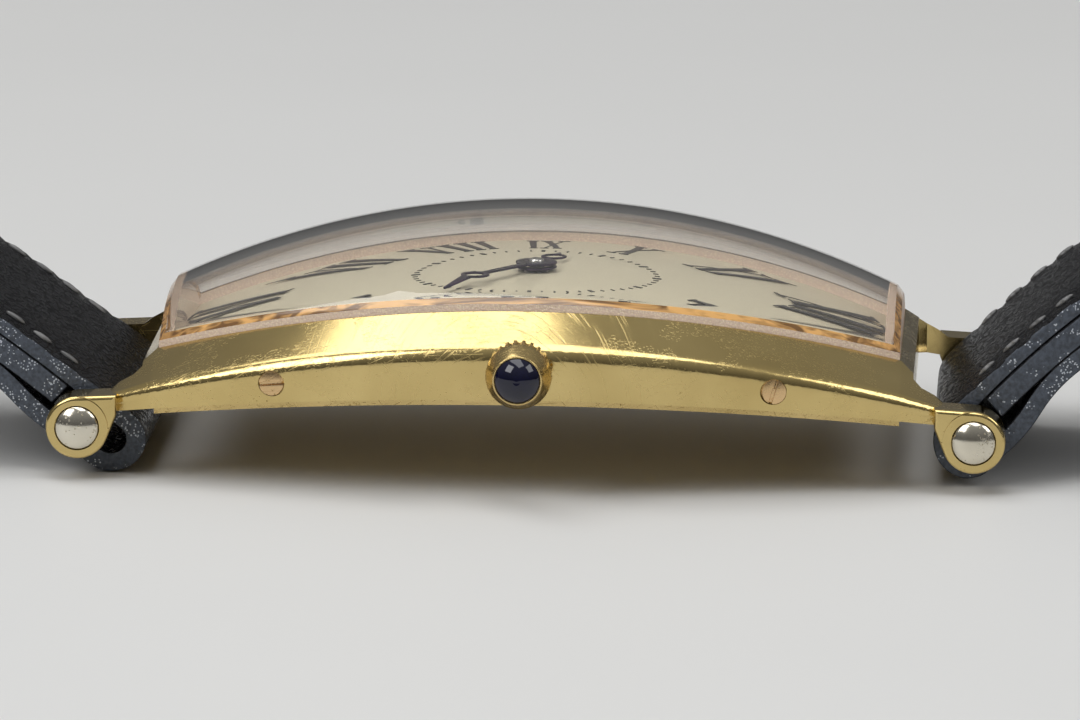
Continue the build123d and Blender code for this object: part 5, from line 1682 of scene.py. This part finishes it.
    def leather_strip(self) -> Object:
        """The outer leather, from its sewn-down end round the lug bar and along the arch.

        Returns:
            The leather.
        """
        snug = -self.half - self.gap - self.leather / 2
        top = self.half - self.leather / 2 - self.gap
        spot = self.at(self.sewn, snug, 0).translation
        path = Path((spot.x - CASE_MIDDLE.x) / MM, spot.z / MM,
                    self.rise - math.degrees(self.sewn / self.radius) + 180)
        piece = self.ring(self.name + "_top", path.x, path.z, path.heading, self.leather)
        swerve = math.degrees((self.under + snug) / self.swerve)
        sewn = self.sewn - self.lead
        path.arc(sewn, math.degrees(sewn / self.radius), 8)
        path.arc(self.swerve, swerve, 6)
        path.arc(self.swerve, -swerve, 6)
        rest = self.lead - 2 * self.swerve + self.curl
        path.arc(rest, math.degrees((self.lead + self.curl) / self.radius), 4)
        below = self.where(place(path.x, 0, path.z))[1]
        path.arc(math.pi * (top - below) / 2, -180.0, 24)
        along, top = self.where(place(path.x, 0, path.z))
        path.heading = self.rise - math.degrees(along / self.radius)
        arch = self.length - along - (0.0 if self.side is Side.SIX else self.buckle_short)
        path.arc(arch / self.radius * (self.radius + top), -math.degrees(arch / self.radius),
                 round(arch / self.pitch * 4))
        if self.side is Side.TWELVE:
            for step in self.buckle_arcs:
                path.arc(*step)
        Bench.leave()
        self.crown_top(piece)
        return piece

    def crown_top(self, piece: Object) -> None:
        """Dome the outer face along the arch.

        Args:
            piece: The leather, before its taper.
        """
        x, z = self.centre()
        centre = place(x, 0, z)
        for vertex in piece.data.vertices:
            along, offset = self.where(vertex.co)
            if offset > self.half - self.crown_skin and along > -self.crown_start:
                share = abs(vertex.co.y - CASE_MIDDLE.y) / (self.width * MM / 2)
                outward = Vector((vertex.co.x - centre.x, 0, vertex.co.z - centre.z)).normalized()
                rise = min(1.0, (along + self.crown_start) / self.crown_run)
                vertex.co -= outward * self.crown * MM * share ** 4 * rise

    def lining_strip(self) -> Object:
        """The lining under the arch.

        Returns:
            The lining.
        """
        start = self.lining_start
        end = self.length if self.side is Side.SIX else self.length - self.lining_short
        offset = -self.half + self.lining / 2
        spot = self.at(start, offset, 0).translation
        x = (spot.x - CASE_MIDDLE.x) / MM
        heading = self.rise - math.degrees(start / self.radius)
        piece = self.ring(self.name + "_under", x, spot.z / MM, heading, self.lining)
        path = Path(x, spot.z / MM, heading)
        span = (end - start) / self.radius
        steps = round((end - start) / self.lining_step)
        path.arc(span * (self.radius + offset), -math.degrees(span), steps)
        Bench.leave()
        return piece

    def holes(self, piece: Object) -> None:
        """Punch the buckle holes.

        Args:
            piece: The strip to punch.
        """
        punches = []
        for number in range(self.hole_count):
            spot = self.at(self.length - self.hole_start - number * self.hole_pitch, 0, 0)
            bpy.ops.mesh.primitive_cylinder_add(vertices=28, radius=self.hole_radius * MM, depth=8 * MM)
            punch = Bench.named("punch")
            punch.data.transform(spot)
            punches.append(punch)
        tool = Bench.join(punches, "punches")
        Bench.cut(piece, tool)

    def slot_for_tang(self, piece: Object) -> None:
        """Cut the slot that the tang comes through.

        Args:
            piece: The leather to cut.
        """
        bpy.ops.mesh.primitive_cube_add(size=1, location=self.at(self.length, 0, 0).translation)
        tool = Bench.named("slot_tool")
        tool.scale = tuple(part * MM for part in self.slot_size)
        Bench.fix_place(tool)
        Bench.cut(piece, tool)

    def settle(self, piece: Object) -> None:
        """Let the half sink towards its lug bar, as worn leather does.

        Args:
            piece: The strip, or its stitches.
        """
        x, z = self.centre()
        centre = place(x, 0, z)
        for vertex in piece.data.vertices:
            along = self.where(vertex.co)[0]
            share = held((self.sag_end - along) / (self.sag_end - self.sag_start))
            depth = (self.sag + self.sink * min(along, self.sag_start)) * share * share * (3 - 2 * share)
            outward = Vector((vertex.co.x - centre.x, 0, vertex.co.z - centre.z)).normalized()
            vertex.co -= outward * depth * MM

    def rest_on_table(self, piece: Object) -> None:
        """Flatten what would go through the table."""
        for vertex in piece.data.vertices:
            vertex.co.z = max(vertex.co.z, 0.0)

    def stitches(self) -> Object:
        """Two rows of stitches on the outside and two on the inside.

        Returns:
            The stitches.
        """
        bpy.ops.mesh.primitive_uv_sphere_add(segments=8, ring_count=6, radius=self.stitch_radius * MM)
        stitch = Bench.named("stitch")
        Bench.edit(stitch)
        Bench.take_all()
        bpy.ops.transform.resize(value=self.stitch_shape, center_override=(0, 0, 0))
        Bench.leave()
        Bench.smooth(stitch, 80)
        spots = []
        last = self.length - (self.tip_margin if self.side is Side.SIX else self.buckle_margin)
        for number in range(1, int(last / self.pitch)):
            along = (number + 0.5) * self.pitch
            for outside in (1, -1):
                if outside < 0 and along < self.loop + self.stitch_margin:
                    continue
                for edge in (1, -1):
                    spot = self.at(along, 0, 0)
                    x = (spot.translation.x - CASE_MIDDLE.x) / MM
                    y = self.width_at(x) / 2 - self.inset
                    if y < self.stitch_least:
                        continue
                    offset = self.half - self.crown * self.stitch_sink if outside > 0 else -self.half
                    slant = Matrix.Rotation(math.radians(self.stitch_slant * edge * outside), 4, "Z")
                    spots.append(self.at(along, offset, y * edge) @ slant)
        return Bench.copy_to(stitch, spots, self.name + "_stitches")

    def turn_to_side(self, piece: Object) -> None:
        """Turn a finished piece to its own side of the case.

        Args:
            piece: The piece.
        """
        if self.side is Side.SIX:
            turn = (Matrix.Translation(CASE_MIDDLE) @ Matrix.Rotation(math.pi, 4, "Z")
                    @ Matrix.Translation(-CASE_MIDDLE))
            piece.data.transform(turn)
            piece.data.update()

    def show_edges(self, piece: Object) -> None:
        """Give the strip's sides the cut edge's finish.

        Args:
            piece: The strip with both its materials.
        """
        for face in piece.data.polygons:
            if abs(face.normal.y) > self.edge_slope:
                face.material_index = 1

    def build(self) -> None:
        """Make the half and dress it."""
        top = self.leather_strip()
        self.finish_strip(top, True)
        under = self.lining_strip()
        self.finish_strip(under, False)
        stitches = self.stitches()
        for strip in (top, under, stitches):
            self.settle(strip)
        for strip in (top, under):
            if self.side is Side.SIX:
                self.holes(strip)
            self.rest_on_table(strip)
        if self.side is Side.TWELVE:
            self.slot_for_tang(top)
        for strip, face in ((top, self.finishes.leather), (under, self.finishes.lining)):
            Bench.dress(strip, face, self.finishes.cut_edge)
            self.show_edges(strip)
            self.turn_to_side(strip)
        self.turn_to_side(stitches)
        Bench.dress(stitches, self.finishes.thread)
        self.done(top, self.name, "strap_leather", self.name + "_leather")
        self.done(under, self.name, "strap_lining", self.name + "_lining")
        self.done(stitches, self.name, "strap_leather")


@dataclass
class KeeperPair(Piece):
    """The two leather keepers on the short half."""

    edge_round: float = 0.22

    def build(self) -> None:
        """Round the keepers and dress them."""
        for node, body in (("fixed_keeper", "strap_12"), ("free_keeper", "free_keeper_body")):
            self.rounded(node, "leather_" + node, (body, "strap_leather"), self.finishes.leather,
                         self.edge_round, 3)


@dataclass
class BuckleAssembly(Piece):
    """The gold pin buckle."""

    frame_round: float = 0.22
    tang_round: float = 0.1

    def build(self) -> None:
        """Round the buckle and its tang."""
        for node, body, width in (("buckle_frame", "buckle_body", self.frame_round),
                                  ("buckle_tang", "tang_body", self.tang_round)):
            self.rounded(node, "polished_" + node, (body, "gold"), self.finishes.worn_gold, width, 3)
        self.coat(self.finishes.worn_gold, "buckle_bar")


@dataclass
class Movement(Piece):
    """The hand-wound movement under the dial."""

    def build(self) -> None:
        """Dress every part of the movement."""
        self.coat(self.finishes.gilt, "main_plate", "barrel_bridge", "train_bridge", "balance_cock",
                  "pallet_cock")
        self.coat(self.finishes.brass, "minute_wheel", "setting_wheel", "centre_wheel", "third_wheel",
                  "fourth_wheel", "mainspring_barrel", "balance_wheel")
        self.coat(self.finishes.steel, "winding_pinion", "sliding_pinion", "crown_wheel", "ratchet_wheel",
                  "barrel_arbor", "escape_wheel", "pallet_fork", "regulator", "casing_screws")
        self.coat(self.finishes.spring_steel, "setting_lever", "yoke", "setting_lever_spring", "click_spring",
                  "click", "mainspring")
        self.coat(self.finishes.blued, "bridge_screws", "hairspring")
        self.coat(self.finishes.ruby, "jewels")


# Studio


@dataclass
class Studio:
    """The pale table, the soft lamps and the camera."""

    table: Finish = Clouded("pale_floor", (0.70, 0.70, 0.69), 0.55, other=(0.714, 0.714, 0.7038), scale=20.0)
    low_strength: float = 0.08
    high_strength: float = 0.35
    target: Triple = (0.2, 0.0, 4.45)
    distance: float = 450.0
    elevation: float = 11.8
    azimuth: float = 3.36
    roll: float = 0.28
    pixels: float = 9045.0
    frame_width: float = 1080.0
    sensor: float = 36.0

    def camera(self) -> None:
        """Set the camera at the photograph's angle."""
        up_angle = math.radians(self.elevation)
        turn = math.radians(self.azimuth)
        lean = math.radians(self.roll)
        back = Vector((math.sin(turn) * math.cos(up_angle), -math.cos(turn) * math.cos(up_angle),
                       math.sin(up_angle)))
        right = Vector((math.cos(turn), math.sin(turn), 0))
        up = back.cross(right)
        level = right * math.cos(lean) + up * math.sin(lean)
        upright = up * math.cos(lean) - right * math.sin(lean)
        location = place(*self.target) + back * self.distance * MM
        data = bpy.data.cameras.new("camera")
        data.sensor_width = self.sensor
        data.lens = self.pixels / self.frame_width * self.sensor
        data.clip_start = 0.01
        data.clip_end = 20
        camera = Bench.add("camera", data)
        rows = Matrix((level, upright, back)).transposed().to_4x4()
        camera.matrix_world = Matrix.Translation(location) @ rows
        bpy.context.scene.camera = camera

    def lamp(self, name: str, spot: Triple, size: tuple[float, float], power: float) -> None:
        """Add a soft lamp that points at the watch.

        Args:
            name: The lamp's name.
            spot: Its place in millimetres from the case's middle.
            size: Its width and height.
            power: Its power in watts.
        """
        data = bpy.data.lights.new(name, "AREA")
        data.shape = "RECTANGLE"
        data.size, data.size_y = size[0] * MM, size[1] * MM
        data.energy = power
        lamp = Bench.add(name, data)
        lamp.location = place(*spot)
        away = lamp.location - place(0, 0, 6)
        lamp.rotation_euler = away.to_track_quat("Z", "Y").to_euler()

    def world(self) -> None:
        """Light the room, brighter overhead than at the walls."""
        world = bpy.data.worlds.new("room")
        world.use_nodes = True
        nodes = Nodes(world.node_tree)
        way = nodes.add("SeparateXYZ", {0: nodes.add("TexCoord").outputs["Generated"]})
        node = world.node_tree.nodes["Background"]
        node.inputs["Color"].default_value = (1.0, 1.0, 1.0, 1)
        strength = nodes.spread(way.outputs["Z"], 0.0, 0.9, self.low_strength, self.high_strength)
        nodes.feed(node, {"Strength": strength})
        bpy.context.scene.world = world

    def floor(self) -> None:
        """Lay the pale table."""
        bpy.ops.mesh.primitive_plane_add(size=4.0, location=CASE_MIDDLE)
        floor = Bench.named("pale_table")
        Bench.fix_place(floor)
        Bench.dress(floor, self.table.make())

    def build(self) -> None:
        """Set up the studio."""
        self.camera()
        self.world()
        self.floor()
        self.lamp("overhead", (-60, -50, 560), (700, 260), 1.65)
        self.lamp("left", (-330, -300, 430), (300, 300), 1.35)
        self.lamp("right", (420, -160, 380), (240, 260), 0.6)
        bpy.context.scene.view_settings.view_transform = "Standard"
        LOG.info("studio ready")


def main() -> None:
    """Build the studio and every sub-assembly."""
    Studio().build()
    finishes = FinishSet()
    CaseAssembly(finishes).build()
    CrystalAssembly(finishes).build()
    DialAssembly(finishes).build()
    HandSet(finishes).build()
    CrownAssembly(finishes).build()
    StrapHalf(finishes).build()
    StrapHalf(finishes, side=Side.SIX, length=112.0, radius=70.0943, loop=2.8, under=2.1, curl=1.45,
              sag=0.95, sink=0.075, sag_end=46.0).build()
    KeeperPair(finishes).build()
    BuckleAssembly(finishes).build()
    Movement(finishes).build()


if __name__ == "__main__":
    main()
